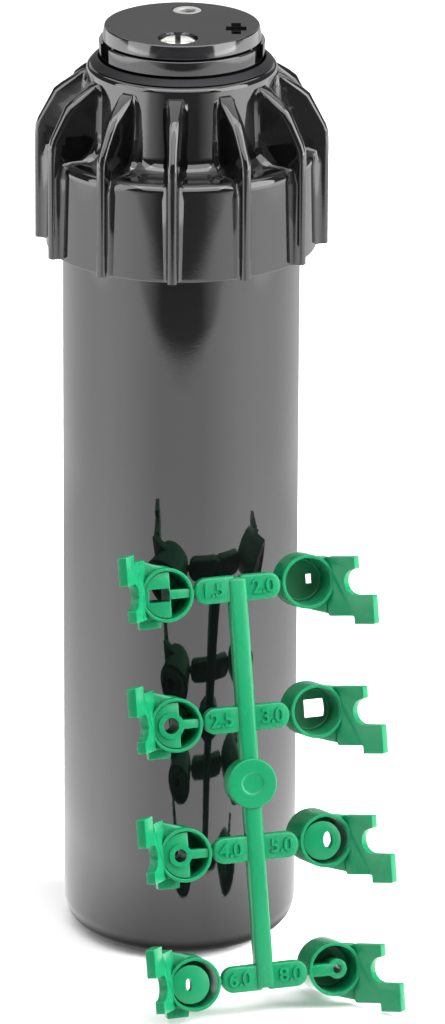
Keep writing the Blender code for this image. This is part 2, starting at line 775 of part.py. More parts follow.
# Gear pins
SIDE_PIN_BOTTOM = CASE_INSIDE + GAP
side_gear_pin = prism("side_gear_pin", [circle(PIN_RADIUS, 10)], SIDE_PIN_BOTTOM, LID_TOP)
side_gear_pin.location.x = CENTRES
piece(side_gear_pin, STEEL)
SHAFT_TOP = GEAR_2_BOTTOM - STAGE_GAP / 2.0 - GAP / 2.0
centre_gear_pin = prism(
    "centre_gear_pin",
    [circle(PIN_RADIUS, 10)],
    SHAFT_TOP + GAP,
    OUTPUT_BOTTOM - GAP,
)
piece(centre_gear_pin, STEEL)

# Turbine shaft with the first pinion, and the turbine wheel on it
turbine_shaft = prism(
    "turbine_shaft",
    [circle(TURBINE_SHAFT, 12)],
    STATOR_BOTTOM + STATOR_HEIGHT / 2.0,
    GEAR_1_BOTTOM + WHEEL_FACE / 2.0,
)
first_pinion = prism(
    "first_pinion",
    [gear_outline(PINION_TEETH, GEAR_MODULE, 0.0)],
    GEAR_1_BOTTOM - STAGE_GAP / 2.0,
    SHAFT_TOP,
)
add(turbine_shaft, first_pinion)
piece(turbine_shaft, STEEL)

turbine_wheel = turned(
    "turbine_wheel",
    [
        (TURBINE_HUB, TURBINE_TOP),
        (TURBINE_HUB, TURBINE_BOTTOM),
        (TURBINE_SHAFT + GAP, TURBINE_BOTTOM),
        (TURBINE_SHAFT + GAP, TURBINE_TOP),
    ],
    COARSE,
)
BLADE_HALF = TURBINE_HEIGHT / 2.0 * math.cos(BLADE_TILT) - BLADE_THICKNESS / 2.0
blade = box(
    "blade",
    (TURBINE_HUB - BLADE_THICKNESS, -BLADE_THICKNESS / 2.0, -BLADE_HALF),
    (RISER_BORE - 2.0 * SLIDING - GAP, BLADE_THICKNESS / 2.0, BLADE_HALF),
)
blade.matrix_basis = Matrix.Translation((0.0, 0.0, (TURBINE_TOP + TURBINE_BOTTOM) / 2.0)) @ Matrix.Rotation(
    BLADE_TILT, 4, "X"
)
add(turbine_wheel, repeated("turbine_blades", blade, TURBINE_BLADES))
piece(turbine_wheel, GREEN_PLASTIC)

# Stator: a plate of ports under the turbine, with the shaft's foot bearing
STATOR_OUTSIDE = RISER_BORE - GAP
ports = []
for i in range(STATOR_PORTS):
    middle = 2.0 * math.pi * i / STATOR_PORTS
    half = 0.34 * 2.0 * math.pi / STATOR_PORTS
    inner = [(STATOR_HUB, middle + half * k) for k in (-1.0, 0.0, 1.0)]
    outer = [(STATOR_OUTSIDE - STATOR_RIM, middle + half * k) for k in (1.0, 0.0, -1.0)]
    ports.append([(r * math.cos(a), r * math.sin(a)) for r, a in inner + outer])
stator = prism(
    "stator",
    [circle(STATOR_OUTSIDE, MEDIUM), circle(TURBINE_SHAFT + RUNNING, 12)] + ports,
    STATOR_BOTTOM,
    STATOR_TOP,
)
piece(stator, GREY_PLASTIC)

# Arc setting: a ring gear round the stem, turned by the adjuster's pinion
ARC_REACH = ARC_MODULE * (ARC_PINION_TEETH + ARC_RING_TEETH) / 2.0
ARC_X = ARC_REACH * math.cos(ARC_ANGLE)
ARC_Y = ARC_REACH * math.sin(ARC_ANGLE)
ARC_BOTTOM = TURRET_BOTTOM + GAP
ARC_TOP = ARC_BOTTOM + ARC_FACE
ARC_POCKET_TOP = ARC_TOP + GAP
ARC_RING_TIP = ARC_MODULE * (ARC_RING_TEETH / 2.0 + 0.85)
ARC_PINION_TIP = ARC_MODULE * (ARC_PINION_TEETH / 2.0 + 0.85)
arc_ring = prism(
    "arc_ring",
    [
        gear_outline(ARC_RING_TEETH, ARC_MODULE, ARC_ANGLE + math.pi / ARC_RING_TEETH),
        circle(STEM_RADIUS + RUNNING, MEDIUM),
    ],
    ARC_BOTTOM,
    ARC_TOP,
)
piece(arc_ring, WHITE_PLASTIC)

COVER_FACE = COVER_TOP - 0.2 * MM
arc_adjuster = turned(
    "arc_adjuster",
    [
        (0.0, COVER_FACE),
        (ARC_HEAD, COVER_FACE),
        (ARC_HEAD, COVER_FACE - ARC_HEAD_HEIGHT),
        (ARC_SHAFT, COVER_FACE - ARC_HEAD_HEIGHT),
        (ARC_SHAFT, ARC_TOP - ARC_FACE / 2.0),
        (0.0, ARC_TOP - ARC_FACE / 2.0),
    ],
    COARSE,
)
adjuster_pinion = prism(
    "adjuster_pinion",
    [gear_outline(ARC_PINION_TEETH, ARC_MODULE, ARC_ANGLE + math.pi)],
    ARC_BOTTOM,
    ARC_TOP,
)
SOCKET_HALF = ARC_HEAD - 0.5 * MM
socket = [
    (SOCKET_HALF, ARC_SOCKET / 2.0),
    (ARC_SOCKET / 2.0, ARC_SOCKET / 2.0),
    (ARC_SOCKET / 2.0, SOCKET_HALF),
    (-ARC_SOCKET / 2.0, SOCKET_HALF),
    (-ARC_SOCKET / 2.0, ARC_SOCKET / 2.0),
    (-SOCKET_HALF, ARC_SOCKET / 2.0),
    (-SOCKET_HALF, -ARC_SOCKET / 2.0),
    (-ARC_SOCKET / 2.0, -ARC_SOCKET / 2.0),
    (-ARC_SOCKET / 2.0, -SOCKET_HALF),
    (ARC_SOCKET / 2.0, -SOCKET_HALF),
    (ARC_SOCKET / 2.0, -ARC_SOCKET / 2.0),
    (SOCKET_HALF, -ARC_SOCKET / 2.0),
]
cross = prism(
    "cross_socket",
    [socket],
    COVER_FACE - 0.7 * ARC_HEAD_HEIGHT,
    COVER_FACE + ARC_HEAD_HEIGHT,
)
add(arc_adjuster, adjuster_pinion)
cut(arc_adjuster, cross)
for item in (arc_adjuster, adjuster_pinion, cross):
    item.location = (ARC_X, ARC_Y, 0.0)
cross.rotation_euler.z = ARC_ANGLE
piece(arc_adjuster, BLACK_PLASTIC)

# Radius screw: its shank reaches down into the stream from the nozzle
SCREW_X = SCREW_REACH * math.cos(SCREW_ANGLE)
SCREW_Y = SCREW_REACH * math.sin(SCREW_ANGLE)
SCREW_TIP = COVER_TOP - SCREW_DROP
radius_screw = turned(
    "radius_screw",
    [
        (0.0, COVER_FACE),
        (SCREW_HEAD - 0.5 * MM, COVER_FACE),
        (SCREW_HEAD, COVER_FACE - 0.4 * MM),
        (SCREW_HEAD, COVER_FACE - SCREW_HEAD_HEIGHT),
        (SCREW_SHANK, COVER_FACE - SCREW_HEAD_HEIGHT),
        (SCREW_SHANK, SCREW_TIP),
        (0.0, SCREW_TIP),
    ],
    COARSE,
)
slot = box(
    "screw_slot",
    (-SCREW_SLOT / 2.0, -2.0 * SCREW_HEAD, COVER_FACE - 0.5 * SCREW_HEAD_HEIGHT),
    (SCREW_SLOT / 2.0, 2.0 * SCREW_HEAD, COVER_FACE + SCREW_HEAD_HEIGHT),
)
cut(radius_screw, slot)
for item in (radius_screw, slot):
    item.location = (SCREW_X, SCREW_Y, 0.0)
piece(radius_screw, STEEL)

# Turret housing: bored for the water, the nozzle, the screw and the adjuster
PORT_CENTRE = TURRET_BOTTOM + PORT_HEIGHT
STEM_POCKET = STEM_RADIUS + GAP
turret_housing = turned(
    "turret_housing",
    [
        (0.0, TURRET_TOP),
        (TURRET_RADIUS + TURRET_RIM, TURRET_TOP),
        (TURRET_RADIUS + TURRET_RIM, TURRET_SEAT),
        (TURRET_RADIUS, TURRET_SEAT),
        (TURRET_RADIUS, TURRET_BOTTOM),
        (ARC_RING_TIP + GAP, TURRET_BOTTOM),
        (ARC_RING_TIP + GAP, ARC_POCKET_TOP),
        (STEM_POCKET, ARC_POCKET_TOP),
        (STEM_POCKET, ARC_POCKET_TOP + GAP),
        (STEM_RADIUS - STEM_WALL, ARC_POCKET_TOP + GAP),
        (STEM_RADIUS - STEM_WALL, PORT_CENTRE),
        (0.0, PORT_CENTRE),
    ],
    FINE,
)
PORT_AXIS = Vector((math.cos(SCREW_ANGLE), math.sin(SCREW_ANGLE), 0.0)) * math.cos(NOZZLE_RISE)
PORT_AXIS.z = math.sin(NOZZLE_RISE)
PORT_FRAME = Matrix.Translation((0.0, 0.0, PORT_CENTRE)) @ PORT_AXIS.to_track_quat("Z", "Y").to_matrix().to_4x4()
port = prism("nozzle_port", [circle(NOZZLE_RADIUS + GAP, COARSE)], FITTED_START - GAP, 2.0 * TURRET_RADIUS)
port.matrix_basis = PORT_FRAME
cut(turret_housing, port)
screw_hole = prism(
    "screw_hole",
    [circle(SCREW_SHANK + GAP, 12, (SCREW_X, SCREW_Y))],
    PORT_CENTRE,
    TURRET_TOP + TURRET_RIM_HEIGHT,
)
cut(turret_housing, screw_hole)
adjuster_hole = prism(
    "adjuster_hole",
    [circle(ARC_SHAFT + GAP, 12, (ARC_X, ARC_Y))],
    ARC_BOTTOM,
    TURRET_TOP + TURRET_RIM_HEIGHT,
)
cut(turret_housing, adjuster_hole)
pinion_pocket = prism(
    "pinion_pocket",
    [circle(ARC_PINION_TIP + GAP, COARSE, (ARC_X, ARC_Y))],
    TURRET_BOTTOM - ARC_FACE,
    ARC_POCKET_TOP,
)
cut(turret_housing, pinion_pocket)
KEY_X = KEY_SOCKET_REACH * math.cos(KEY_SOCKET_ANGLE)
KEY_Y = KEY_SOCKET_REACH * math.sin(KEY_SOCKET_ANGLE)
key_socket = prism(
    "key_socket",
    [circle(KEY_SOCKET_RADIUS, COARSE, (KEY_X, KEY_Y))],
    TURRET_TOP - KEY_SOCKET_DEPTH,
    TURRET_TOP + 2.0 * COVER_HEIGHT,
)
cut(turret_housing, key_socket)
piece(turret_housing, BLACK_PLASTIC)

# Turret cover: the rubber top, with holes over the screw, the adjuster and the key socket
COVER_RADIUS = TURRET_RADIUS + TURRET_RIM - COVER_INSET
turret_cover = turned(
    "turret_cover",
    [
        (0.0, COVER_TOP),
        (COVER_RADIUS - COVER_TAPER - COVER_EDGE, COVER_TOP),
        (COVER_RADIUS - COVER_TAPER, COVER_TOP - COVER_EDGE),
        (COVER_RADIUS, COVER_BOTTOM),
        (0.0, COVER_BOTTOM),
    ],
    FINE,
)
cover_holes = prism(
    "cover_holes",
    [
        circle(SCREW_HEAD + GAP, COARSE, (SCREW_X, SCREW_Y)),
    ],
    COVER_BOTTOM - COVER_HEIGHT,
    COVER_TOP + COVER_HEIGHT,
)
cut(turret_cover, cover_holes)
adjuster_opening = prism(
    "adjuster_opening",
    [circle(ARC_HEAD + GAP, COARSE, (ARC_X, ARC_Y))],
    COVER_BOTTOM - COVER_HEIGHT,
    COVER_TOP + COVER_HEIGHT,
)
cut(turret_cover, adjuster_opening)
key_opening = prism(
    "key_opening",
    [circle(KEY_SOCKET_RADIUS, COARSE, (KEY_X, KEY_Y))],
    COVER_BOTTOM - COVER_HEIGHT,
    COVER_TOP + COVER_HEIGHT,
)
cut(turret_cover, key_opening)
piece(turret_cover, BLACK_RUBBER)

# Fitted nozzle: a plain insert pressed into the turret's port
fitted_nozzle = turned(
    "fitted_nozzle",
    [
        (NOZZLE_RADIUS, FITTED_START + FITTED_LENGTH),
        (NOZZLE_RADIUS, FITTED_START),
        (NOZZLE_RADIUS - NOZZLE_WALL, FITTED_START),
        (FITTED_ORIFICE, FITTED_START + 0.6 * FITTED_LENGTH),
        (FITTED_ORIFICE, FITTED_START + 0.8 * FITTED_LENGTH),
        (NOZZLE_RADIUS - NOZZLE_WALL, FITTED_START + FITTED_LENGTH),
    ],
    COARSE,
)
fitted_nozzle.matrix_basis = PORT_FRAME
piece(fitted_nozzle, GREEN_PLASTIC)

# Nozzle tree: set on the floor and leaned back until it meets the canister
TREE_TURN = (
    Matrix.Rotation(TREE_YAW, 4, "Z")
    @ Matrix.Rotation(-TREE_LEAN, 4, "X")
    @ Matrix.Rotation(math.pi / 2.0, 4, "X")
)
NOZZLE_SIDES = 14


def tree_centre(row, side):
    """The middle of a nozzle's near face, in the tree's own flat frame."""
    return Vector((side * TREE_REACH, TREE_PITCH * ((TREE_ROWS - 1) / 2.0 - row), 0.0))


FORK_OUTLINE = [
    (0.0, -FORK_BASE),
    (FORK_HEEL, -FORK_BASE),
    (FORK_HEEL, -FORK_FOOT),
    (FORK_LENGTH, -FORK_FOOT),
    (FORK_LENGTH, -FORK_NOTCH_DROP - FORK_NOTCH),
]
for i in range(7):
    angle = math.radians(-90.0 - 30.0 * i)
    FORK_OUTLINE.append(
        (
            FORK_NOTCH_FLOOR + FORK_NOTCH + FORK_NOTCH * math.cos(angle),
            -FORK_NOTCH_DROP + FORK_NOTCH * math.sin(angle),
        )
    )
FORK_OUTLINE.append((FORK_ARM, FORK_NOTCH - FORK_NOTCH_DROP))
FORK_OUTLINE.append((FORK_ARM, FORK_TOP))
FORK_OUTLINE.append((0.0, FORK_TOP))
FORK_FRAME = Matrix.Translation((NOZZLE_RADIUS - FORK_ROOT, 0.0, -FORK_THICKNESS)) @ Matrix.Rotation(
    -FORK_SLANT, 4, "Y"
)

feet = []
for side in (-1.0, 1.0):
    for x, y in circle(NOZZLE_RADIUS, 64):
        foot = tree_centre(TREE_ROWS - 1, side) + Vector((x, y, -NOZZLE_LENGTH))
        feet.append((TREE_TURN @ foot).z)
for along, y in FORK_OUTLINE:
    for depth in (-FORK_THICKNESS / 2.0, FORK_THICKNESS / 2.0):
        foot = tree_centre(TREE_ROWS - 1, 1.0) + FORK_FRAME @ Vector((along, y, depth))
        feet.append((TREE_TURN @ foot).z)
backs = []
for x, y in circle(NOZZLE_RADIUS, 64):
    back = TREE_TURN @ (tree_centre(0, -1.0) + Vector((x, y, -NOZZLE_LENGTH)))
    across = back.x + TREE_ACROSS
    backs.append(-math.sqrt((CANISTER_RADIUS + GAP) ** 2 - across**2) - back.y)
TREE_FRAME = Matrix.Translation((TREE_ACROSS, min(backs), -min(feet))) @ TREE_TURN

nozzle_rack = prism(
    "nozzle_rack",
    [
        [
            (-SPINE_WIDTH / 2.0, -TREE_PITCH * (TREE_ROWS - 1) / 2.0),
            (SPINE_WIDTH / 2.0, -TREE_PITCH * (TREE_ROWS - 1) / 2.0),
            (SPINE_WIDTH / 2.0, TREE_PITCH * (TREE_ROWS - 1) / 2.0),
            (-SPINE_WIDTH / 2.0, TREE_PITCH * (TREE_ROWS - 1) / 2.0),
        ]
    ],
    -RACK_THICKNESS - 0.4 * MM,
    0.4 * MM,
)
TAG_END = TREE_REACH - NOZZLE_RADIUS - GAP
TAG_ROUND = TAG_HEIGHT / 2.0
rack_tools = []
for row in range(TREE_ROWS):
    level = tree_centre(row, 0.0).y
    stadium = []
    for i in range(7):
        angle = math.radians(-90.0 + 30.0 * i)
        stadium.append(
            (
                TAG_END - TAG_ROUND + TAG_ROUND * math.cos(angle),
                level + TAG_ROUND * math.sin(angle),
            )
        )
    for i in range(7):
        angle = math.radians(90.0 + 30.0 * i)
        stadium.append(
            (
                -TAG_END + TAG_ROUND + TAG_ROUND * math.cos(angle),
                level + TAG_ROUND * math.sin(angle),
            )
        )
    rack_tools.append(prism(f"tag_{row + 1}", [stadium], -RACK_THICKNESS, 0.0))
rack_tools.append(
    prism("hub", [circle(HUB_RADIUS, 20)], -RACK_THICKNESS - 0.8 * MM, 0.8 * MM)
)
for item in rack_tools:
    add(nozzle_rack, item)
    item.matrix_basis = TREE_FRAME
nozzle_rack.matrix_basis = TREE_FRAME
piece(nozzle_rack, GREEN_PLASTIC)

for row in range(TREE_ROWS):
    for column, side in enumerate((-1.0, 1.0)):
        number = 2 * row + column
        orifice = ORIFICES[number]
        nozzle = turned(
            f"nozzle_{number + 1}",
            [
                (NOZZLE_RADIUS, 0.0),
                (NOZZLE_RADIUS, -NOZZLE_LENGTH),
                (NOZZLE_RADIUS - NOZZLE_WALL, -NOZZLE_LENGTH),
                (orifice, -0.45 * NOZZLE_LENGTH),
                (orifice, -0.25 * NOZZLE_LENGTH),
                (NOZZLE_RADIUS - NOZZLE_WALL, 0.0),
            ],
            NOZZLE_SIDES,
        )
        fork = prism(f"fork_{number + 1}", [FORK_OUTLINE], -FORK_THICKNESS / 2.0, FORK_THICKNESS / 2.0)
        facing = Matrix.Rotation(0.0 if side > 0.0 else math.pi, 4, "Z")
        home = TREE_FRAME @ Matrix.Translation(tree_centre(row, side)) @ facing
        nozzle.matrix_basis = home
        fork.matrix_basis = home @ FORK_FRAME
        add(nozzle, fork)
        piece(nozzle, GREEN_PLASTIC)
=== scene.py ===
"""Looks of a pop-up sprinkler with its moulded tree of spare nozzles.

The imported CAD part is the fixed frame. Each section below models one visible piece in the part's
own frame, from sizes in millimetres, and hangs it on the CAD body that it moves with.
"""

import json
import math

import bpy
from mathutils import Matrix, Quaternion, Vector


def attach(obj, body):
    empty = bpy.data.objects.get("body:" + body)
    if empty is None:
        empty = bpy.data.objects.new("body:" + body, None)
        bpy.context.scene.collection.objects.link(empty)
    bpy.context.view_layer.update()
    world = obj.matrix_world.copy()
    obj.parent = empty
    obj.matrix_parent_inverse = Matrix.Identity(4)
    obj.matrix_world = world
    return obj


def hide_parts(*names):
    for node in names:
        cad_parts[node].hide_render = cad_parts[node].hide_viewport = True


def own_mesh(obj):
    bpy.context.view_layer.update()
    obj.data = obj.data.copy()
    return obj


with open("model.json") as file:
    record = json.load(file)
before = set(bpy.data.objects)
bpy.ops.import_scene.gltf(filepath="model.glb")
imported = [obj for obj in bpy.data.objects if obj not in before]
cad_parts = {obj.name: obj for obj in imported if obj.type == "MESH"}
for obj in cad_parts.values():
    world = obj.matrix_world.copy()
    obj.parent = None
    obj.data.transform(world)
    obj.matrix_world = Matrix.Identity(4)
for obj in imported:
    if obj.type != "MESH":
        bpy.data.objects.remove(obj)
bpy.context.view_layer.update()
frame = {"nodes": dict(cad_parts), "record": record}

MM = 0.001


# Canister: the black ABS body, open at the top and threaded inside its inlet socket.
# It is turned from one closed profile, the socket's wall is moved into a pipe thread, and six ribs
# are joined on inside.
CANISTER_RADIUS = 23.5
CANISTER_BORE = 21.2
CANISTER_HEIGHT = 160.0
CANISTER_FLOOR = 3.0
SOCKET_WALL = 15.8
SOCKET_TOP = 20.0
SOCKET_ROOT = 13.2
SOCKET_CREST = 12.4
THREAD_PITCH = 1.814
THREAD_LOW = 1.4
THREAD_HIGH = 17.6
THREAD_FADE = 2.0
THREAD_RINGS = 82
RING_STEP = 0.21
RIB_COUNT = 6
RIB_LOW = (20.4, -0.8, 20.0)
RIB_HIGH = (21.8, 0.8, 155.0)


def only(obj):
    """Makes one object the active and the only selected one."""
    bpy.ops.object.select_all(action="DESELECT")
    obj.select_set(True)
    bpy.context.view_layer.objects.active = obj
    return obj


def drawn(name, points):
    """A vertex pulled along a line of points. It is left in edit mode with all selected."""
    bpy.ops.object.select_all(action="DESELECT")
    bpy.ops.mesh.primitive_plane_add(size=MM)
    obj = bpy.context.object
    obj.name = name
    obj.data.name = name
    bpy.ops.object.mode_set(mode="EDIT")
    bpy.ops.mesh.select_all(action="SELECT")
    bpy.ops.mesh.merge(type="CENTER")
    bpy.ops.transform.translate(value=points[0])
    for before, after in zip(points, points[1:]):
        bpy.ops.mesh.extrude_region_move(TRANSFORM_OT_translate={"value": after - before})
    bpy.ops.mesh.select_all(action="SELECT")
    return obj


def cleaned(obj):
    """Merges doubles, turns the faces outward and leaves edit mode."""
    bpy.ops.mesh.select_all(action="SELECT")
    bpy.ops.mesh.remove_doubles(threshold=0.002 * MM)
    bpy.ops.mesh.normals_make_consistent(inside=False)
    bpy.ops.object.mode_set(mode="OBJECT")
    return obj


def rounded(corners, step=11.25):
    """A closed outline in millimetres. Each corner is (x, y) or (x, y, radius of its rounding)."""
    out = []
    for i, corner in enumerate(corners):
        here = Vector(corner[:2])
        if len(corner) == 2:
            out.append(here)
            continue
        back = (Vector(corners[i - 1][:2]) - here).normalized()
        ahead = (Vector(corners[(i + 1) % len(corners)][:2]) - here).normalized()
        half = back.angle(ahead) / 2.0
        centre = here + (back + ahead).normalized() * (corner[2] / math.sin(half))
        first = here + back * (corner[2] / math.tan(half)) - centre
        last = here + ahead * (corner[2] / math.tan(half)) - centre
        start = math.atan2(first.y, first.x)
        turn = (math.atan2(last.y, last.x) - start + math.pi) % (2.0 * math.pi) - math.pi
        count = max(2, math.ceil(abs(math.degrees(turn)) / step))
        for k in range(count + 1):
            angle = start + turn * k / count
            out.append(centre + corner[2] * Vector((math.cos(angle), math.sin(angle))))
    return out


def turned(name, corners, steps):
    """A body spun round Z from a closed profile of (radius, height) corners."""
    profile = rounded(corners)
    points = [Vector((p.x, 0.0, p.y)) * MM for p in profile + profile[:1]]
    obj = drawn(name, points)
    bpy.ops.mesh.spin(steps=steps, angle=2.0 * math.pi, center=(0, 0, 0), axis=(0, 0, 1))
    return cleaned(obj)


def smooth(obj, angle=32.0):
    """Shades a piece smooth, apart from edges sharper than the angle in degrees."""
    only(obj)
    bpy.ops.object.shade_smooth_by_angle(angle=math.radians(angle))
    return obj


def block(name, low, high):
    """A plain box between two corners in millimetres."""
    bpy.ops.object.select_all(action="DESELECT")
    bpy.ops.mesh.primitive_cube_add(size=1.0)
    obj = bpy.context.object
    obj.name = name
    middle = (Vector(low) + Vector(high)) / 2.0 * MM
    size = (Vector(high) - Vector(low)) * MM
    obj.data.transform(Matrix.Translation(middle) @ Matrix.Diagonal((*size, 1.0)))
    return obj


def joined(obj, *others):
    """Other objects made part of the first one."""
    bpy.ops.object.select_all(action="DESELECT")
    for other in others:
        other.select_set(True)
    obj.select_set(True)
    bpy.context.view_layer.objects.active = obj
    bpy.ops.object.join()
    return obj


def placed(obj, look, body, slot, *nodes):
    """Gives a piece its material and CAD body and hides the CAD nodes it stands for; the slot is not
    used.
    """
    obj.data.materials.clear()
    obj.data.materials.append(look)
    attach(obj, body)
    if nodes:
        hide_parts(*nodes)
    return obj


def group_nodes(name, outputs):
    """A new node group with only outputs, and its tree."""
    tree = bpy.data.node_groups.new(name, "ShaderNodeTree")
    for label, kind in outputs:
        tree.interface.new_socket(name=label, in_out="OUTPUT", socket_type=kind)
    return tree


def noise(tree, where, scale, detail=2.0, stretch=None):
    """A noise texture on object coordinates, which may be stretched."""
    node = tree.nodes.new("ShaderNodeTexNoise")
    node.inputs["Scale"].default_value = scale
    node.inputs["Detail"].default_value = detail
    if stretch:
        mapping = tree.nodes.new("ShaderNodeMapping")
        mapping.inputs["Scale"].default_value = stretch
        tree.links.new(where.outputs["Object"], mapping.inputs["Vector"])
        tree.links.new(mapping.outputs["Vector"], node.inputs["Vector"])
    else:
        tree.links.new(where.outputs["Object"], node.inputs["Vector"])
    return node


def bump(tree, height, distance, strength, under=None):
    """A bump, which may lie on another bump."""
    node = tree.nodes.new("ShaderNodeBump")
    node.inputs["Distance"].default_value = distance
    node.inputs["Strength"].default_value = strength
    tree.links.new(height, node.inputs["Height"])
    if under:
        tree.links.new(under.outputs["Normal"], node.inputs["Normal"])
    return node


def spread(tree, value, low, high, out_low, out_high):
    """A value's range made another range, clamped."""
    node = tree.nodes.new("ShaderNodeMapRange")
    for label, number in (
        ("From Min", low),
        ("From Max", high),
        ("To Min", out_low),
        ("To Max", out_high),
    ):
        node.inputs[label].default_value = number
    tree.links.new(value, node.inputs["Value"])
    return node.outputs["Result"]


def blended(tree, mask, first, second):
    """A colour between two colours, by a mask."""
    node = tree.nodes.new("ShaderNodeMix")
    node.data_type = "RGBA"
    node.inputs["A"].default_value = (*first, 1.0)
    node.inputs["B"].default_value = (*second, 1.0)
    tree.links.new(mask, node.inputs["Factor"])
    return node.outputs["Result"]


# What every moulding shares: slow waves from cooling, fine grain and handling smudges
moulding = group_nodes(
    "moulding",
    [
        ("Normal", "NodeSocketVector"),
        ("Tone", "NodeSocketFloat"),
        ("Smudge", "NodeSocketFloat"),
    ],
)
group_out = moulding.nodes.new("NodeGroupOutput")
group_where = moulding.nodes.new("ShaderNodeTexCoord")
waves = noise(moulding, group_where, 42.0, 1.0)
grain = noise(moulding, group_where, 2600.0, 2.0)
smudges = noise(moulding, group_where, 95.0, 5.0, (1.0, 1.0, 0.45))
wave_bump = bump(moulding, waves.outputs["Fac"], 0.0006, 0.22)
grain_bump = bump(moulding, grain.outputs["Fac"], 0.00003, 0.10, wave_bump)
moulding.links.new(grain_bump.outputs["Normal"], group_out.inputs["Normal"])
moulding.links.new(waves.outputs["Fac"], group_out.inputs["Tone"])
moulding.links.new(
    spread(moulding, smudges.outputs["Fac"], 0.48, 0.70, 0.0, 1.0), group_out.inputs["Smudge"]
)


def new_material(name, dark, light, roughness=None):
    """A material on the shared moulding: a colour between two, and a roughness that smudges raise."""
    made = bpy.data.materials.new(name)
    made.use_nodes = True
    tree = made.node_tree
    shader = tree.nodes["Principled BSDF"]
    shared = tree.nodes.new("ShaderNodeGroup")
    shared.node_tree = moulding
    tree.links.new(shared.outputs["Normal"], shader.inputs["Normal"])
    tree.links.new(blended(tree, shared.outputs["Tone"], dark, light), shader.inputs["Base Color"])
    if roughness:
        tree.links.new(
            spread(tree, shared.outputs["Smudge"], 0.0, 1.0, *roughness), shader.inputs["Roughness"]
        )
    return made, shader


black_plastic, shader = new_material(
    "black_plastic", (0.0020, 0.0020, 0.0022), (0.0040, 0.0040, 0.0043), (0.035, 0.055)
)
shader.inputs["IOR"].default_value = 1.5

canister = turned(
    "canister_body",
    [
        (CANISTER_RADIUS, CANISTER_HEIGHT, 0.3),
        (CANISTER_RADIUS, 0.0, 6.0),
        (16.4, 0.0, 0.3),
        (16.0, 0.5, 0.3),
        (14.6, 0.5, 0.3),
        (14.2, 0.0, 0.2),
        (SOCKET_ROOT + 0.5, 0.0, 0.1),
        (SOCKET_ROOT, 0.6),
    ]
    + [(SOCKET_ROOT, 0.8 + RING_STEP * k) for k in range(THREAD_RINGS)]
    + [
        (SOCKET_ROOT, 18.2),
        (SOCKET_CREST, 18.8),
        (SOCKET_CREST, SOCKET_TOP, 0.3),
        (SOCKET_WALL, SOCKET_TOP, 0.5),
        (SOCKET_WALL, CANISTER_FLOOR, 1.0),
        (CANISTER_BORE, CANISTER_FLOOR, 3.2),
        (CANISTER_BORE, CANISTER_HEIGHT, 0.3),
    ],
    144,
)
for vertex in canister.data.vertices:
    x, y, z = vertex.co / MM
    if abs(math.hypot(x, y) - SOCKET_ROOT) < 0.02 and THREAD_LOW < z < THREAD_HIGH:
        share = (z / THREAD_PITCH - math.atan2(y, x) / (2.0 * math.pi)) % 1.0
        ridge = max(0.0, min(1.0, 1.25 - 3.4 * abs(share - 0.5)))
        fade = min(1.0, (z - THREAD_LOW) / THREAD_FADE, (THREAD_HIGH - z) / THREAD_FADE)
        radius = SOCKET_ROOT - (SOCKET_ROOT - SOCKET_CREST) * ridge * fade
        vertex.co.x = x * MM * radius / SOCKET_ROOT
        vertex.co.y = y * MM * radius / SOCKET_ROOT
ribs = []
for i in range(RIB_COUNT):
    rib = block("rib", RIB_LOW, RIB_HIGH)
    rib.data.transform(Matrix.Rotation(2.0 * math.pi * i / RIB_COUNT, 4, "Z"))
    ribs.append(rib)
joined(canister, *ribs)
placed(smooth(canister), black_plastic, "canister", "black_plastic", "canister")


# Cap: black ABS, screwed over the canister's mouth, with twelve grip fins moulded on.
# The skirt, shoulder and neck are turned; a fin is a grid whose vertices are set in place.
CAP_NECK = 18.8
CAP_SKIRT = 26.8
CAP_TOP = 182.4
CAP_SHOULDER = 165.0
CAP_FOOT = 145.3
CAP_MOUTH = 17.3
CAP_BORE = 23.8
CAP_CEILING = 162.4
SKIRT_DRAFT = 0.3
FIN_COUNT = 12
FIN_FIRST = -93.6
FIN_REACH = 29.0
# Each row of a fin: its root and its tip as (radius, height), then half its thickness
FIN_PATH = [
    ((CAP_NECK, 180.4), (18.9, 180.4), 1.15),
    ((CAP_NECK, 179.4), (20.0, 180.0), 1.45),
    ((CAP_NECK, 177.5), (21.6, 179.0), 1.55),
    ((CAP_NECK, 174.5), (23.6, 177.7), 1.50),
    ((CAP_NECK, 171.5), (25.2, 176.4), 1.35),
    ((18.85, 168.6), (26.3, 174.3), 1.15),
    ((19.8, 166.2), (27.4, 172.2), 1.05),
    ((21.9, CAP_SHOULDER), (28.4, 170.3), 1.00),
    ((24.4, CAP_SHOULDER), (28.9, 168.9), 0.98),
    ((26.3, 164.7), (FIN_REACH, 166.6), 0.96),
    ((CAP_SKIRT, 162.0), (FIN_REACH, 162.4), 0.95),
    ((CAP_SKIRT, 154.0), (FIN_REACH, 154.0), 0.95),
    ((CAP_SKIRT, 145.7), (FIN_REACH, 145.7), 0.95),
]
# A point near each end of the skirt keeps its shading straight between the rounded edges
cap = turned(
    "cap_body",
    [
        (CAP_MOUTH, CAP_TOP, 0.3),
        (CAP_NECK, CAP_TOP, 1.1),
        (CAP_NECK, CAP_SHOULDER, 3.2),
        (CAP_SKIRT - SKIRT_DRAFT, CAP_SHOULDER, 1.7),
        (CAP_SKIRT - SKIRT_DRAFT, 162.9),
        (CAP_SKIRT, 146.1),
        (CAP_SKIRT, CAP_FOOT, 0.4),
        (CAP_BORE, CAP_FOOT, 0.4),
        (CAP_BORE, CAP_CEILING, 0.3),
        (CAP_MOUTH, CAP_CEILING, 0.3),
    ],
    144,
)


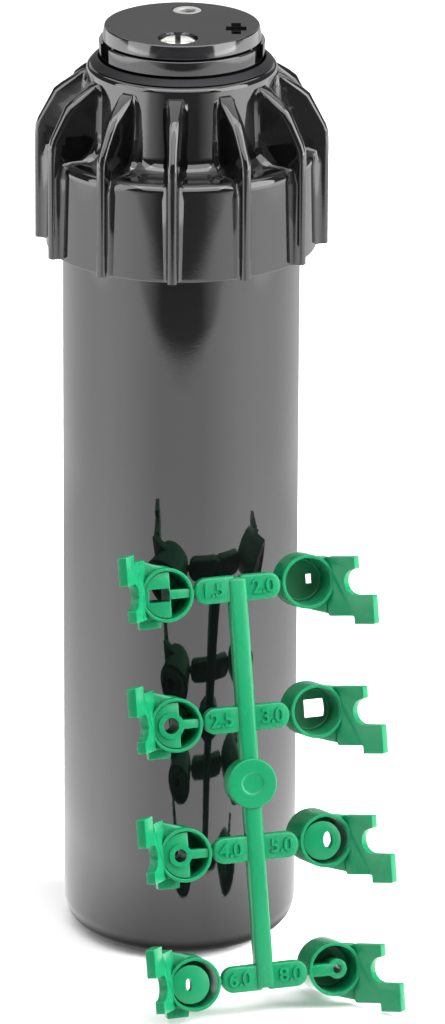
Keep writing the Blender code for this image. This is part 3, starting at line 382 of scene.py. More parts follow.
def fin_section(root, tip, half):
    """One side of a fin's cross-section: (distance from root to tip, half thickness)."""
    length = math.hypot(tip[0] - root[0], tip[1] - root[1])
    flare = min(1.0, length / 1.5)
    side = [
        (-0.5, half + 1.3 * flare),
        (0.0, half + 0.75 * flare),
        (0.25 * flare, half + 0.42 * flare),
        (0.6 * flare, half + 0.16 * flare),
        (1.1 * flare, half),
    ]
    edge = min(0.92 * half, length / 3.0)
    for angle in (0.0, 22.5, 45.0, 67.5, 90.0):
        turn = math.radians(angle)
        side.append((length - edge + edge * math.sin(turn), half - edge + edge * math.cos(turn)))
    return side


def twin(obj):
    """A copy of an object, with a mesh of its own."""
    copy = obj.copy()
    copy.data = obj.data.copy()
    bpy.context.scene.collection.objects.link(copy)
    return copy


columns = 2 * len(fin_section(*FIN_PATH[0]))
bpy.ops.mesh.primitive_grid_add(x_subdivisions=columns - 1, y_subdivisions=len(FIN_PATH) - 1)
fin = bpy.context.object
for row, (root, tip, half) in enumerate(FIN_PATH):
    side = fin_section(root, tip, half)
    along = Vector((tip[0] - root[0], 0.0, tip[1] - root[1])).normalized()
    across = side + [(d, -t) for d, t in reversed(side)]
    for column, (distance, offset) in enumerate(across):
        place = Vector((root[0], 0.0, root[1])) + along * distance
        place.y = offset
        fin.data.vertices[row * columns + column].co = place * MM
only(fin)
bpy.ops.object.mode_set(mode="EDIT")
bpy.ops.mesh.select_all(action="DESELECT")
bpy.ops.object.mode_set(mode="OBJECT")
for vertex in fin.data.vertices[(len(FIN_PATH) - 1) * columns :]:
    vertex.select = True
bpy.ops.object.mode_set(mode="EDIT")
bpy.ops.mesh.edge_face_add()
bpy.ops.mesh.select_all(action="SELECT")
bpy.ops.mesh.normals_make_consistent(inside=False)
bpy.ops.object.mode_set(mode="OBJECT")
fins = []
for i in range(FIN_COUNT):
    copy = twin(fin)
    turn = math.radians(FIN_FIRST + 360.0 / FIN_COUNT * i)
    copy.data.transform(Matrix.Rotation(turn, 4, "Z"))
    fins.append(copy)
bpy.data.objects.remove(fin, do_unlink=True)
joined(cap, *fins)
placed(smooth(cap), black_plastic, "canister", "black_plastic", "cap")


# Wiper seal: black rubber, clamped under the cap, its sloped lip standing over the neck.
# It is turned in one; the lip's underside rests on the neck's rim.
SEAL_BORE = 16.45
SEAL_TOP = 183.7
SEAL_FLANGE = 23.2
black_rubber, shader = new_material(
    "black_rubber", (0.005, 0.005, 0.006), (0.009, 0.009, 0.010), (0.42, 0.58)
)
shader.inputs["IOR"].default_value = 1.5
shader.inputs["Specular IOR Level"].default_value = 0.12
seal = turned(
    "wiper_seal_ring",
    [
        (SEAL_BORE, SEAL_TOP, 0.2),
        (16.9, SEAL_TOP, 0.3),
        (18.2, 182.5, 0.1),
        (17.0, 182.5, 0.1),
        (17.0, 162.1, 0.2),
        (SEAL_FLANGE, 162.1, 0.2),
        (SEAL_FLANGE, 160.3, 0.2),
        (SEAL_BORE, 160.3, 0.2),
    ],
    120,
)
placed(smooth(seal), black_rubber, "canister", "black_rubber", "wiper_seal")


# Spring seat: a grey acetal ring under the seal that holds the spring's top coil.
# It is turned in one with a short collar round that coil.
grey_plastic, shader = new_material(
    "grey_plastic", (0.16, 0.16, 0.155), (0.21, 0.21, 0.205), (0.34, 0.48)
)
shader.inputs["IOR"].default_value = 1.48
seat = turned(
    "spring_seat_ring",
    [
        (20.9, 160.0, 0.2),
        (20.9, 156.0, 0.2),
        (20.1, 156.0, 0.2),
        (20.1, 157.4, 0.2),
        (16.4, 157.4, 0.2),
        (16.4, 160.0, 0.2),
    ],
    96,
)
placed(smooth(seat), grey_plastic, "canister", "grey_plastic", "spring_seat")


# Retraction spring: stainless wire wound round the riser, pressed short as the riser goes up.
# It is a bevelled curve made mesh.
SPRING_LOW = 28.4
SPRING_HIGH = 156.2
SPRING_TURNS = 12
SPRING_RADIUS = 18.2
WIRE_RADIUS = 0.9
TURN_STEPS = 48
FLAT_STEPS = 36
steel, shader = new_material(
    "steel", (0.80, 0.79, 0.77), (0.88, 0.87, 0.85), (0.20, 0.32)
)
shader.inputs["Metallic"].default_value = 1.0
bpy.ops.object.select_all(action="DESELECT")
bpy.ops.curve.primitive_bezier_curve_add()
spring = bpy.context.object
spring.name = "spring_coil"
spring.data.name = "spring_coil"
spring.data.splines.clear()
spring.data.bevel_depth = WIRE_RADIUS * MM
spring.data.bevel_resolution = 3
spring.data.use_fill_caps = True
wire = spring.data.splines.new("POLY")
count = SPRING_TURNS * TURN_STEPS
wire.points.add(count)
for i, point in enumerate(wire.points):
    turn = 2.0 * math.pi * i / TURN_STEPS
    risen = max(0.0, min(1.0, (i - FLAT_STEPS) / (count - 2 * FLAT_STEPS)))
    height = SPRING_LOW + (SPRING_HIGH - SPRING_LOW) * risen
    across = SPRING_RADIUS * MM
    point.co = (across * math.cos(turn), across * math.sin(turn), height * MM, 1.0)
only(spring)
bpy.ops.object.convert(target="MESH")
placed(smooth(spring, 60.0), steel, "canister", "steel", "retraction_spring")
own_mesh(spring)


# Riser tube: black ABS, the barrel that the water pushes up out of the cap.
# It is turned in one with a thin lip round the washer and the flange that carries the ratchet ring.
RISER_RADIUS = 16.0
RISER_BORE = 14.2
RISER_TOP = 158.3
RISER_FOOT = 20.3
WASHER_SEAT = 156.8
LIP_BORE = 15.76
FLANGE_RADIUS = 17.5
FLANGE_TOP = 22.3
riser = turned(
    "riser_barrel",
    [
        (RISER_RADIUS, RISER_TOP, 0.15),
        (RISER_RADIUS, FLANGE_TOP, 0.2),
        (FLANGE_RADIUS, FLANGE_TOP, 0.3),
        (FLANGE_RADIUS, RISER_FOOT, 0.3),
        (RISER_BORE, RISER_FOOT, 0.3),
        (RISER_BORE, WASHER_SEAT, 0.3),
        (LIP_BORE, WASHER_SEAT),
        (LIP_BORE, RISER_TOP, 0.05),
    ],
    128,
)
placed(smooth(riser), black_plastic, "riser", "black_plastic", "riser_tube")


# Turret housing: black ABS, turns on the riser and holds the nozzle, the screw and the adjuster.
# Its barrel and rim are turned, then the port, the holes and the rim's two notches are cut.
TURRET_RADIUS = 15.9
TURRET_TOP = 187.0
TURRET_FOOT = 158.4
RIM_FOOT = 183.9
NOTCH_ANGLE = 69.0
PORT_ANGLE = math.radians(-94.7)
PORT_RISE = math.radians(25.0)
PORT_HEIGHT = 167.4
SCREW_AT = (-0.795, -9.667)
ARC_AT = (10.590, -3.097)
KEY_AT = (0.99, 9.75)


def rod(name, radius, low, high, at=(0.0, 0.0), steps=48):
    """A plain upright cylinder in millimetres."""
    bpy.ops.object.select_all(action="DESELECT")
    bpy.ops.mesh.primitive_cylinder_add(
        vertices=steps,
        radius=radius * MM,
        depth=(high - low) * MM,
        location=(at[0] * MM, at[1] * MM, (low + high) / 2.0 * MM),
    )
    obj = bpy.context.object
    obj.name = name
    bpy.ops.object.transform_apply(location=True, rotation=True, scale=True)
    return obj


def moved(obj, at):
    """Moves a piece that was made round Z to its own upright axis."""
    obj.data.transform(Matrix.Translation((at[0] * MM, at[1] * MM, 0.0)))
    return obj


def cut(obj, *cutters):
    """Takes the cutters out of a piece, by applied Boolean modifiers."""
    for cutter in cutters:
        change = obj.modifiers.new("cut", "BOOLEAN")
        change.operation = "DIFFERENCE"
        change.solver = "EXACT"
        change.object = cutter
        only(obj)
        bpy.ops.object.modifier_apply(modifier=change.name)
        bpy.data.objects.remove(cutter, do_unlink=True)
    return obj


def eased(obj, width, segments=2, angle=30.0):
    """Rounds a piece's sharp edges, by an applied Bevel modifier."""
    change = obj.modifiers.new("ease", "BEVEL")
    change.width = width * MM
    change.segments = segments
    change.limit_method = "ANGLE"
    change.angle_limit = math.radians(angle)
    change.use_clamp_overlap = True
    change.harden_normals = False
    only(obj)
    bpy.ops.object.modifier_apply(modifier=change.name)
    return obj


turret = turned(
    "turret_barrel",
    [
        (16.35, TURRET_TOP, 0.25),
        (16.25, RIM_FOOT, 0.3),
        (TURRET_RADIUS, RIM_FOOT, 0.1),
        (TURRET_RADIUS, TURRET_FOOT, 0.4),
        (9.6, TURRET_FOOT, 0.2),
        (9.6, 161.6, 0.2),
        (6.7, 161.6, 0.1),
        (6.7, 162.0, 0.1),
        (5.1, 162.0, 0.2),
        (5.1, PORT_HEIGHT),
        (0.0, PORT_HEIGHT),
        (0.0, TURRET_TOP),
    ],
    128,
)
port_axis = Vector((math.cos(PORT_ANGLE), math.sin(PORT_ANGLE), 0.0)) * math.cos(PORT_RISE)
port_axis.z = math.sin(PORT_RISE)
port_turn = port_axis.to_track_quat("Z", "Y").to_matrix().to_4x4()
port_frame = Matrix.Translation((0.0, 0.0, PORT_HEIGHT * MM)) @ port_turn
port = rod("port", 5.7, 2.1, 31.0, steps=64)
port.data.transform(port_frame)
cut(
    turret,
    port,
    rod("screw_hole", 1.7, PORT_HEIGHT, 190.0, SCREW_AT, 32),
    rod("adjuster_hole", 1.8, 158.7, 190.0, ARC_AT, 32),
    rod("pinion_pocket", 3.4, 155.0, 161.6, ARC_AT, 32),
    rod("key_socket", 2.4, 181.6, 192.0, KEY_AT, 32),
)
for side in (-1.0, 1.0):
    notch = block("notch", (15.0, -2.2, 184.2), (18.0, 2.2, 188.0))
    notch.data.transform(Matrix.Rotation(math.radians(-90.0 + NOTCH_ANGLE * side), 4, "Z"))
    cut(turret, notch)
placed(smooth(turret), black_plastic, "turret", "black_plastic", "turret_housing")


# Turret cover: black rubber with glossy sides and a dull top, and a sunk panel in front.
# It is turned, then cut; a cross slit lies over the adjuster.
COVER_TOP = 190.0
COVER_FOOT = 187.2
CUT_LOW = 186.0
CUT_HIGH = 192.0
SLIT_FOOT = 188.4
SLIT_ACROSS = (2.0, 1.4)
SLIT_ALONG = (0.95, 3.8)
cover_black, shader = new_material("cover_black", (0.006, 0.006, 0.007), (0.012, 0.012, 0.013))
tree = cover_black.node_tree
shader.inputs["IOR"].default_value = 1.5
cover_where = tree.nodes.new("ShaderNodeTexCoord")
cover_facing = tree.nodes.new("ShaderNodeSeparateXYZ")
tree.links.new(cover_where.outputs["Normal"], cover_facing.inputs["Vector"])
upward = spread(tree, cover_facing.outputs["Z"], 0.85, 0.98, 0.0, 1.0)
tree.links.new(spread(tree, upward, 0.0, 1.0, 0.10, 0.48), shader.inputs["Roughness"])
tree.links.new(spread(tree, upward, 0.0, 1.0, 0.5, 0.2), shader.inputs["Specular IOR Level"])
cover = turned(
    "turret_top",
    [
        (15.25, COVER_TOP, 0.35),
        (15.7, COVER_FOOT, 0.2),
        (0.0, COVER_FOOT),
        (0.0, COVER_TOP),
    ],
    128,
)


def slit(wide, long):
    """One bar of the cross over the adjuster, by half its width and half its length."""
    low = (-wide, -long, SLIT_FOOT)
    high = (wide, long, CUT_HIGH)
    return moved(block("slit", low, high), ARC_AT)


cut(
    cover,
    rod("screw_opening", 3.95, CUT_LOW, CUT_HIGH, SCREW_AT, 48),
    rod("key_opening", 2.95, CUT_LOW, CUT_HIGH, KEY_AT, 40),
    slit(*SLIT_ACROSS),
    slit(*SLIT_ALONG),
    rod("adjuster_room", 2.6, CUT_LOW, 189.0, ARC_AT, 32),
    block("front_panel", (-5.4, -17.0, 187.4), (5.4, -14.9, 189.5)),
)
placed(smooth(cover), cover_black, "turret", "black_rubber", "turret_cover")


# Key bush: a light grey ring pressed into the cover round the pull-up key's socket.
# It is turned about its own axis and moved into place.
bush = turned(
    "key_bush",
    [
        (2.9, 189.95, 0.25),
        (2.9, 188.2, 0.1),
        (1.55, 188.2, 0.1),
        (1.55, 189.95, 0.35),
    ],
    48,
)
moved(bush, KEY_AT)
placed(smooth(bush), grey_plastic, "turret", "grey_plastic")


# Radius screw: stainless steel, slotted, its shank reaches down into the stream.
# The head and shank are turned, and the slot is cut.
HEAD_RADIUS = 3.65
HEAD_FOOT = 188.5
SHANK_RADIUS = 1.4
SHANK_FOOT = 177.9
screw = turned(
    "radius_screw_bar",
    [
        (0.0, 189.95),
        (2.6, 189.85, 1.5),
        (HEAD_RADIUS, 189.4, 0.25),
        (HEAD_RADIUS, HEAD_FOOT, 0.1),
        (SHANK_RADIUS, HEAD_FOOT, 0.1),
        (SHANK_RADIUS, SHANK_FOOT, 0.4),
        (0.0, SHANK_FOOT),
    ],
    64,
)
cut(screw, block("slot", (-0.55, -8.0, 188.7), (0.55, 8.0, CUT_HIGH)))
moved(screw, SCREW_AT)
placed(smooth(screw), steel, "distance_screw", "steel", "radius_screw")


# Arc adjuster: black ABS, under the cover's cross slit; its pinion turns the arc ring.
# The head and shaft are turned; the pinion's teeth are set round the shaft by a loop.
PINION_TEETH = 8
PINION_FIRST = 163.7
adjuster = turned(
    "arc_adjuster_shaft",
    [
        (0.0, 188.7),
        (2.3, 188.7, 0.2),
        (2.3, 187.7, 0.2),
        (1.5, 187.7, 0.1),
        (1.5, 161.3),
        (1.9, 161.3, 0.1),
        (1.9, 158.7, 0.1),
        (0.0, 158.7),
    ],
    48,
)
cut(
    adjuster,
    block("cross_a", (-1.7, -0.45, 188.0), (1.7, 0.45, 190.0)),
    block("cross_b", (-0.45, -1.7, 188.0), (0.45, 1.7, 190.0)),
)
teeth = []
for i in range(PINION_TEETH):
    tooth = block("tooth", (1.6, -0.34, 158.75), (2.85, 0.34, 161.25))
    turn = math.radians(PINION_FIRST + 360.0 / PINION_TEETH * i)
    tooth.data.transform(Matrix.Rotation(turn, 4, "Z"))
    teeth.append(tooth)
joined(adjuster, *teeth)
moved(adjuster, ARC_AT)
placed(smooth(adjuster), black_plastic, "adjuster", "black_plastic", "arc_adjuster")


# Fitted nozzle: green plastic, pressed into the turret's port and shut in until the riser is up.
# It is turned round its own axis, then tipped into the port.
green_plastic, shader = new_material(
    "green_plastic", (0.002, 0.130, 0.050), (0.005, 0.166, 0.068), (0.26, 0.38)
)
shader.inputs["IOR"].default_value = 1.5
shader.inputs["Specular IOR Level"].default_value = 0.16
shader.inputs["Subsurface Weight"].default_value = 0.25
shader.inputs["Subsurface Radius"].default_value = (0.3, 1.0, 0.6)
shader.inputs["Subsurface Scale"].default_value = 0.0012
fitted = turned(
    "fitted_nozzle_insert",
    [
        (5.4, 9.8, 0.3),
        (5.4, 2.4, 0.3),
        (4.3, 2.4, 0.2),
        (2.3, 6.8, 0.3),
        (2.3, 8.3, 0.3),
        (4.3, 9.8, 0.2),
    ],
    64,
)
fitted.data.transform(port_frame)
placed(smooth(fitted), green_plastic, "turret", "green_plastic", "fitted_nozzle")


# Nozzle rack: green plastic, the moulded runner with its spine, number tags, sprue disc and gates.
# The parts are drawn flat in the tree's own frame, made solid, joined, and leaned on the canister.
TREE_ROWS = 4
TREE_PITCH = 25.85
TREE_TOP = (TREE_ROWS - 1) / 2.0 * TREE_PITCH
TREE_REACH = 14.48
TREE_ACROSS = 14.25
NOZZLE_RADIUS = 5.4
NOZZLE_LENGTH = 7.5
TREE_TURN = 15.6
TREE_LEAN = 15.8
LEAN_GAP = 0.3
RIM_STEPS = 64
FORK_AT = Vector((4.6, 0.0, -1.8))
FORK_SLANT = 48.4
FORK_HALF = 0.9
FORK_HEEL = Vector((6.4, -9.0, -FORK_HALF))
SPINE_HALF = 1.8
SPINE_END = TREE_TOP + 2.2
TAG_MIDDLE = 5.2
GATE_RADIUS = 0.75
FIGURE_SIZE = 3.9
FIGURE_HEIGHT = 0.22
NUMBERS = ("1.5", "2.0", "2.5", "3.0", "4.0", "5.0", "6.0", "8.0")
tree_turn = (
    Matrix.Rotation(math.radians(TREE_TURN), 4, "Z")
    @ Matrix.Rotation(math.radians(-TREE_LEAN), 4, "X")
    @ Matrix.Rotation(math.pi / 2.0, 4, "X")
)
fork_turn = Matrix.Rotation(math.radians(-FORK_SLANT), 4, "Y")
backs = []
for i in range(RIM_STEPS):
    angle = 2.0 * math.pi * i / RIM_STEPS
    rim = Vector((math.cos(angle), math.sin(angle), 0.0)) * NOZZLE_RADIUS
    rim.z = -NOZZLE_LENGTH
    back = tree_turn @ (rim + Vector((-TREE_REACH, TREE_TOP, 0.0)))
    reach = CANISTER_RADIUS + LEAN_GAP
    backs.append(-math.sqrt(reach**2 - (back.x + TREE_ACROSS) ** 2) - back.y)
heel = FORK_AT + fork_turn @ FORK_HEEL
foot = tree_turn @ (heel + Vector((TREE_REACH, -TREE_TOP, 0.0)))
tree_frame = Matrix.Translation(Vector((TREE_ACROSS, min(backs), -foot.z)) * MM) @ tree_turn


def solid(name, corners, low, high):
    """A flat closed outline in millimetres, filled and pulled up between two heights."""
    outline = rounded(corners)
    obj = drawn(name, [Vector((p.x, p.y, low)) * MM for p in outline + outline[:1]])
    bpy.ops.mesh.remove_doubles(threshold=0.002 * MM)
    bpy.ops.mesh.select_all(action="SELECT")
    bpy.ops.mesh.edge_face_add()
    bpy.ops.mesh.extrude_region_move(
        TRANSFORM_OT_translate={"value": (0.0, 0.0, (high - low) * MM)}
    )
    return cleaned(obj)


rack = eased(
    solid(
        "nozzle_rack_runner",
        [
            (-SPINE_HALF, -SPINE_END),
            (SPINE_HALF, -SPINE_END),
            (SPINE_HALF, SPINE_END),
            (-SPINE_HALF, SPINE_END),
        ],
        -2.8,
        0.4,
    ),
    0.7,
    3,
)
rack_parts = []
tag = eased(
    solid(
        "tag",
        [(0.6, -2.6), (8.75, -2.6, 2.3), (8.75, 2.6, 2.3), (0.6, 2.6)],
        -2.4,
        0.0,
    ),
    0.45,
    3,
)
for row in range(TREE_ROWS):
    level = TREE_TOP - TREE_PITCH * row
    for column, side in enumerate((-1.0, 1.0)):
        copy = twin(tag)
        turn = Matrix.Rotation(0.0 if side > 0.0 else math.pi, 4, "Z")
        copy.data.transform(Matrix.Translation((0.0, level * MM, 0.0)) @ turn)
        gate = rod("gate", GATE_RADIUS, 8.4, 9.6, steps=20)
        lay = Matrix.Rotation(math.pi / 2.0, 4, "Y")
        gate.data.transform(Matrix.Translation((0.0, level * MM, -1.2 * MM)) @ turn @ lay)
        bpy.ops.object.select_all(action="DESELECT")
        bpy.ops.object.text_add()
        label = bpy.context.object
        label.data.body = NUMBERS[2 * row + column]
        label.data.align_x = "CENTER"
        label.data.align_y = "CENTER"
        label.data.size = FIGURE_SIZE * MM
        label.data.extrude = FIGURE_HEIGHT * MM
        label.data.offset = 0.06 * MM
        bpy.ops.object.convert(target="MESH")
        label.data.transform(Matrix.Translation((TAG_MIDDLE * side * MM, level * MM, 0.1 * MM)))
        rack_parts += [copy, gate, label]
bpy.data.objects.remove(tag, do_unlink=True)
disc = turned(
    "sprue_disc",
    [
        (5.0, 0.8, 0.35),
        (5.0, -3.2, 0.35),
        (0.0, -3.2),
        (0.0, 0.6),
        (1.9, 0.6, 0.3),
        (2.3, 0.8, 0.3),
    ],
    64,
)
joined(rack, disc, *rack_parts)
rack.data.transform(tree_frame)
placed(smooth(rack), green_plastic, "canister", "green_plastic", "nozzle_rack")


# Spare nozzles: eight in green plastic, held on the rack by thin gates, each with its own orifice.
# A barrel is turned and its insides added by kind; the fork plate is drawn flat, then slanted.
BARREL_BORE = 4.6
BARREL_FLOOR = -6.2
BARREL_BACK = -6.9
INSIDE_BACK = -6.5
CUT_BACK = -9.0
LEFT_SLANT = 8.0
# Each spare: kind, barrel's length, then its orifice's place off the axis, half width and half height
SPARES = (
    ("web", NOZZLE_LENGTH, 1.5, 2.1, 1.35),
    ("open", NOZZLE_LENGTH, 1.8, 0.6, 0.95),
    ("tube", NOZZLE_LENGTH, 1.0, 1.6, 1.6),
    ("open", 8.6, 1.1, 2.1, 1.8),
    ("tube", NOZZLE_LENGTH, 1.0, 1.3, 1.3),
    ("plug", 11.2, 0.5, 0.95, 1.7),
    ("plug", NOZZLE_LENGTH, 1.1, 0.6, 1.3),
    ("arm", 9.5, 0.5, 0.9, 0.9),
)
fork = eased(
    solid(
        "fork",
        [
            (0.0, -7.3, 0.5),
            (6.0, -7.3, 0.3),
            (6.0, -8.94, 0.25),
            (10.7, -8.94, 0.3),
            (10.7, -3.2, 0.3),
            (4.2, -3.2, 2.5),
            (4.2, 2.0, 2.5),
            (6.9, 2.0, 0.3),
            (6.9, 4.5, 0.3),
            (0.0, 4.5, 0.5),
        ],
        -FORK_HALF,
        FORK_HALF,
    ),
    0.22,
)
fork_place = Matrix.Translation(FORK_AT * MM)
left_turn = Matrix.Rotation(math.radians(-LEFT_SLANT), 4, "Y")
left_turn = fork_place @ left_turn @ fork_place.inverted()
fork.data.transform(fork_place @ fork_turn)
fairing = eased(
    solid("fairing", [(-0.8, 5.3), (5.2, 4.4), (5.2, -7.2), (-0.8, -5.3)], -3.4, -1.5),
    0.3,
)
for flank in (fork, fairing):
    cut(flank, rod("bore", BARREL_BORE, CUT_BACK, 9.0, steps=56))
joined(fork, fairing)
for row in range(TREE_ROWS):
    for column, side in enumerate((-1.0, 1.0)):
        number = 2 * row + column
        kind, length, off, wide, high = SPARES[number]
        name = f"spare_nozzle_{number + 1}"
        barrel = turned(
            name,
            [
                (0.0, BARREL_BACK),
                (3.2, BARREL_BACK, 0.2),
                (4.3, -length, 0.2),
                (NOZZLE_RADIUS, -length, 0.3),
                (NOZZLE_RADIUS, 0.0, 0.2),
                (4.75, 0.0, 0.15),
                (4.2, BARREL_FLOOR, 0.4),
                (0.0, BARREL_FLOOR),
            ],
            56,
        )
        inside = []
        if kind in ("web", "tube"):
            arc = [math.radians(-100.0 + 12.5 * k) for k in range(17)]
            bow = [(BARREL_BORE * math.cos(a), BARREL_BORE * math.sin(a)) for a in arc]
            inside.append(eased(solid("web", bow, INSIDE_BACK, -0.5), 0.15))
            rib = block("rib", (-4.8, -0.9, INSIDE_BACK), (0.0, 0.9, -0.35))
            inside.append(eased(rib, 0.15))
        if kind == "tube":
            inside.append(rod("tube", wide + 1.0, INSIDE_BACK, -0.15, (off, 0.0), 40))
        if kind == "plug":
            inside.append(eased(rod("plug", 3.9, -2.2, -0.6, (-0.7 * side, 0.0), 48), 0.2))
            cut(barrel, rod("outlet", 2.2, CUT_BACK, -4.0, (off + 1.6 * side, 0.0), 48))
        if kind == "arm":
            inside.append(eased(block("arm", (-5.2, -1.2, -2.6), (0.0, 1.2, -0.2)), 0.2))
            tube = rod("tube", 2.0, INSIDE_BACK, -0.25, (off, 0.0), 40)
            inside.append(eased(tube, 0.15))
        for body in [barrel] + inside:
            if kind in ("web", "open"):
                hole = block("orifice", (-1.0, -1.0, CUT_BACK), (1.0, 1.0, 2.0))
            else:
                hole = rod("orifice", 1.0, CUT_BACK, 2.0, steps=32)
            hole.data.transform(Matrix.Diagonal((wide, high, 1.0, 1.0)))
            cut(body, moved(hole, (off, 0.0)))
        plate = twin(fork)
        if side < 0.0:
            plate.data.transform(left_turn)
            tab = [(0.8, 4.6), (5.6, 4.6), (5.6, 6.6, 0.3), (1.2, 6.6, 0.3)]
            inside.append(eased(solid("tab", tab, -4.0, -2.0), 0.2))
        joined(barrel, plate, *inside)
        facing = Matrix.Rotation(0.0 if side > 0.0 else math.pi, 4, "Z")
        centre = Vector((side * TREE_REACH, TREE_TOP - TREE_PITCH * row, 0.0)) * MM
        barrel.data.transform(tree_frame @ Matrix.Translation(centre) @ facing)
        placed(smooth(barrel), green_plastic, "canister", "green_plastic", f"nozzle_{number + 1}")
bpy.data.objects.remove(fork, do_unlink=True)


# Parts inside: the drive, its gears, the washers and the screen keep their CAD shapes.
# Each takes the finish of its own slot.
white_plastic, shader = new_material(
    "white_plastic", (0.70, 0.70, 0.67), (0.80, 0.80, 0.77), (0.32, 0.46)
)
shader.inputs["IOR"].default_value = 1.48
FINISHES = {
    "grey_plastic": grey_plastic,
    "white_plastic": white_plastic,
    "green_plastic": green_plastic,
    "steel": steel,
    "black_plastic": black_plastic,
    "black_rubber": black_rubber,
}
for subpart in frame["record"]["subparts"]:
    inside = frame["nodes"][subpart["node"]]
    if not inside.hide_render:
        inside.data.materials.clear()
        inside.data.materials.append(FINISHES[subpart["material_slot"]])


# Stage: a pale floor that the camera sees as white; glossy sides see it as a glowing table, a painted
# reflection.
# Painted shade darkens it near the part and behind it; it ends in front, and its far sides glow
# brighter.
FLOOR_SIZE = 12.0
FLOOR_DROP = 0.0004


def worked(tree, operation, first, second=0.0):
    """A Math node's result. The second value may be a plain number."""
    node = tree.nodes.new("ShaderNodeMath")
    node.operation = operation
    tree.links.new(first, node.inputs[0])
    if isinstance(second, float):
        node.inputs[1].default_value = second
    else:
        tree.links.new(second, node.inputs[1])
    return node.outputs["Value"]


bpy.ops.object.select_all(action="DESELECT")
bpy.ops.mesh.primitive_plane_add(size=FLOOR_SIZE, location=(0.0, 0.0, -FLOOR_DROP))
floor = bpy.context.object
floor.name = "floor"
floor_look = bpy.data.materials.new("floor")
floor_look.use_nodes = True
tree = floor_look.node_tree
tree.nodes.clear()
floor_out = tree.nodes.new("ShaderNodeOutputMaterial")
paper = tree.nodes.new("ShaderNodeBsdfDiffuse")
paper.inputs["Color"].default_value = (0.93, 0.93, 0.93, 1.0)
# Emission seen only by glossy rays: a painted reflection of a lit table, not a lamp
mirrored = tree.nodes.new("ShaderNodeEmission")
rays = tree.nodes.new("ShaderNodeLightPath")
choice = tree.nodes.new("ShaderNodeMixShader")
where = tree.nodes.new("ShaderNodeTexCoord")
split = tree.nodes.new("ShaderNodeSeparateXYZ")
tree.links.new(where.outputs["Object"], split.inputs["Vector"])
length = tree.nodes.new("ShaderNodeVectorMath")
length.operation = "LENGTH"
tree.links.new(where.outputs["Object"], length.inputs[0])
distance = length.outputs["Value"]
sideways = worked(tree, "ABSOLUTE", split.outputs["X"])
forward = worked(tree, "MULTIPLY", split.outputs["Y"], -1.0)
# The angle from straight in front of the part, in radians
off_front = worked(tree, "ARCTAN2", sideways, forward)
# Far out, the dark end is seen over a wider angle
narrowed = worked(tree, "MULTIPLY", off_front, spread(tree, distance, 0.92, 1.02, 1.0, 0.6))
# Painted shade: the mirrored table's dark end in front of the part
table_end = worked(
    tree,
    "MAXIMUM",
    spread(tree, split.outputs["Y"], -0.495, -0.450, 0.09, 1.0),
    spread(tree, narrowed, 0.32, 0.80, 0.12, 0.97),
)
# Painted shade behind the part and close to it
table_back = worked(
    tree,
    "MAXIMUM",
    spread(tree, off_front, 1.7, 2.7, 1.0, 0.68),
    spread(tree, distance, 0.08, 0.30, 0.0, 1.0),
)
# Painted shade in front, near the part, at its foot and behind, and painted glow at the far sides
painted_shade_front = spread(tree, off_front, 0.35, 0.95, 0.74, 1.0)
painted_shade_back = spread(tree, off_front, 1.3, 2.8, 1.0, 0.20)
painted_shade_near = spread(tree, distance, 0.022, 0.062, 0.42, 1.0)
painted_shade_foot = spread(tree, distance, 0.0225, 0.027, 0.15, 1.0)
painted_glow_sides = spread(tree, sideways, 0.53, 0.59, 1.0, 1.7)
lit = spread(tree, distance, 0.05, 0.35, 4.5, 3.75)
for share in (painted_shade_front, painted_shade_near, painted_shade_foot, table_back, painted_shade_back, table_end, painted_glow_sides):
    lit = worked(tree, "MULTIPLY", lit, share)
tree.links.new(lit, mirrored.inputs["Strength"])
tree.links.new(rays.outputs["Is Glossy Ray"], choice.inputs["Fac"])
tree.links.new(paper.outputs["BSDF"], choice.inputs[1])
tree.links.new(mirrored.outputs["Emission"], choice.inputs[2])
tree.links.new(choice.outputs["Shader"], floor_out.inputs["Surface"])
floor.data.materials.append(floor_look)


# Light: two tall softboxes at the sides, one above the front and a low one behind. Four panels
# give only sheen, the right softbox gives none, and glossy sides mirror the plain sky as darker.
def softbox(name, place, aim, wide, tall, watts):
    """A rectangular lamp, its place, aim and size in metres."""
    lamp = bpy.data.lights.new(name, "AREA")
    lamp.shape = "RECTANGLE"
    lamp.size = wide
    lamp.size_y = tall
    lamp.energy = watts
    obj = bpy.data.objects.new(name, lamp)
    bpy.context.scene.collection.objects.link(obj)
    obj.location = place
    obj.rotation_euler = (Vector(aim) - Vector(place)).to_track_quat("-Z", "Y").to_euler()
    return obj


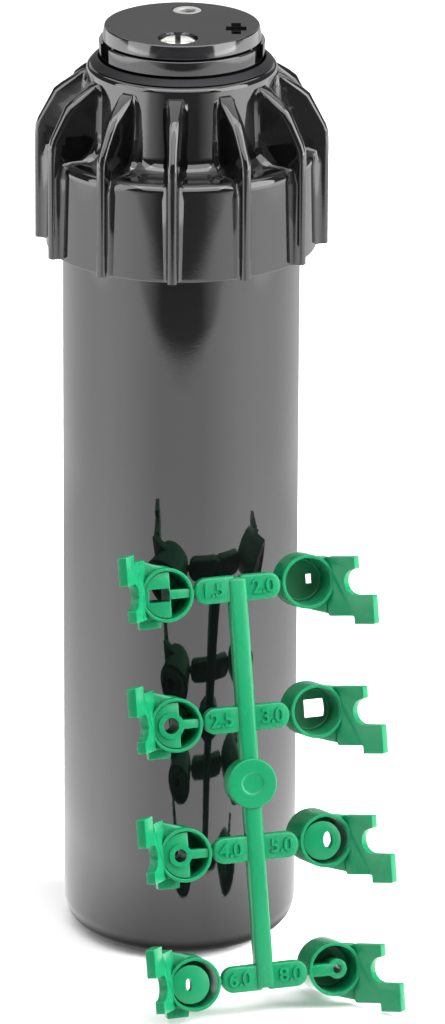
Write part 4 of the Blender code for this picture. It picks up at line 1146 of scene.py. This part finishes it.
softbox("softbox_left", (-0.75, -0.35, 0.55), (0.0, 0.0, 0.12), 0.7, 1.0, 4.0)
strong = softbox("softbox_right", (0.82, -0.12, 0.45), (0.0, 0.0, 0.12), 0.7, 0.9, 32.0)
strong.visible_glossy = False
softbox("softbox_top", (0.0, -0.4, 1.15), (0.0, 0.0, 0.1), 1.2, 0.45, 14.0)
softbox("softbox_back", (0.0, 1.3, 0.72), (0.0, 0.0, 0.19), 1.6, 0.5, 2.4)
for sheen in (
    softbox("sheen_front", (0.0, -0.95, 1.0), (0.0, 0.0, 0.16), 1.5, 0.7, 17.0),
    softbox("sheen_left", (-0.80, -0.37, 0.55), (0.0, 0.0, 0.12), 0.7, 1.0, 9.0),
    softbox("sheen_right", (0.80, -0.37, 0.55), (0.0, 0.0, 0.12), 0.7, 1.0, 20.0),
    softbox("sheen_above", (0.0, 0.5, 1.4), (0.0, 0.45, 0.0), 2.2, 1.5, 26.0),
):
    sheen.visible_diffuse = False
world = bpy.data.worlds.new("sky")
bpy.context.scene.world = world
world.use_nodes = True
tree = world.node_tree
sky = tree.nodes["Background"]
sky.inputs["Color"].default_value = (1.0, 1.0, 1.0, 1.0)
rays = tree.nodes.new("ShaderNodeLightPath")
tree.links.new(
    spread(tree, rays.outputs["Is Glossy Ray"], 0.0, 1.0, 0.46, 0.20), sky.inputs["Strength"]
)
bpy.context.scene.view_settings.view_transform = "Standard"


# Camera: looks down at the part from the front, from the photograph's height.
# It is aimed a little beside and below the part's middle, so that the nozzle tree is in the picture.
CAMERA_TILT = math.radians(20.0)
CAMERA_ROLL = math.radians(0.29)
CAMERA_AWAY = 1.5
AIM_ACROSS = 8.4
AIM_DOWN = 6.5
camera_data = bpy.data.cameras.new("camera")
camera = bpy.data.objects.new("camera", camera_data)
bpy.context.scene.collection.objects.link(camera)
bpy.context.scene.camera = camera
camera_up = Vector((0.0, math.sin(CAMERA_TILT), math.cos(CAMERA_TILT)))
camera_back = Vector((0.0, -math.cos(CAMERA_TILT), math.sin(CAMERA_TILT)))
camera_centre = Vector((0.0, 0.0, 0.095))
camera_aim = camera_centre + Vector((AIM_ACROSS * MM, 0.0, 0.0)) - AIM_DOWN * MM * camera_up
camera.location = camera_centre + CAMERA_AWAY * camera_back
look_along = (camera_aim - camera.location).to_track_quat("-Z", "Y")
camera.rotation_mode = "QUATERNION"
camera.rotation_quaternion = look_along @ Quaternion((0.0, 0.0, 1.0), CAMERA_ROLL)
camera_data.lens = 263.25
camera_data.sensor_width = 36.0
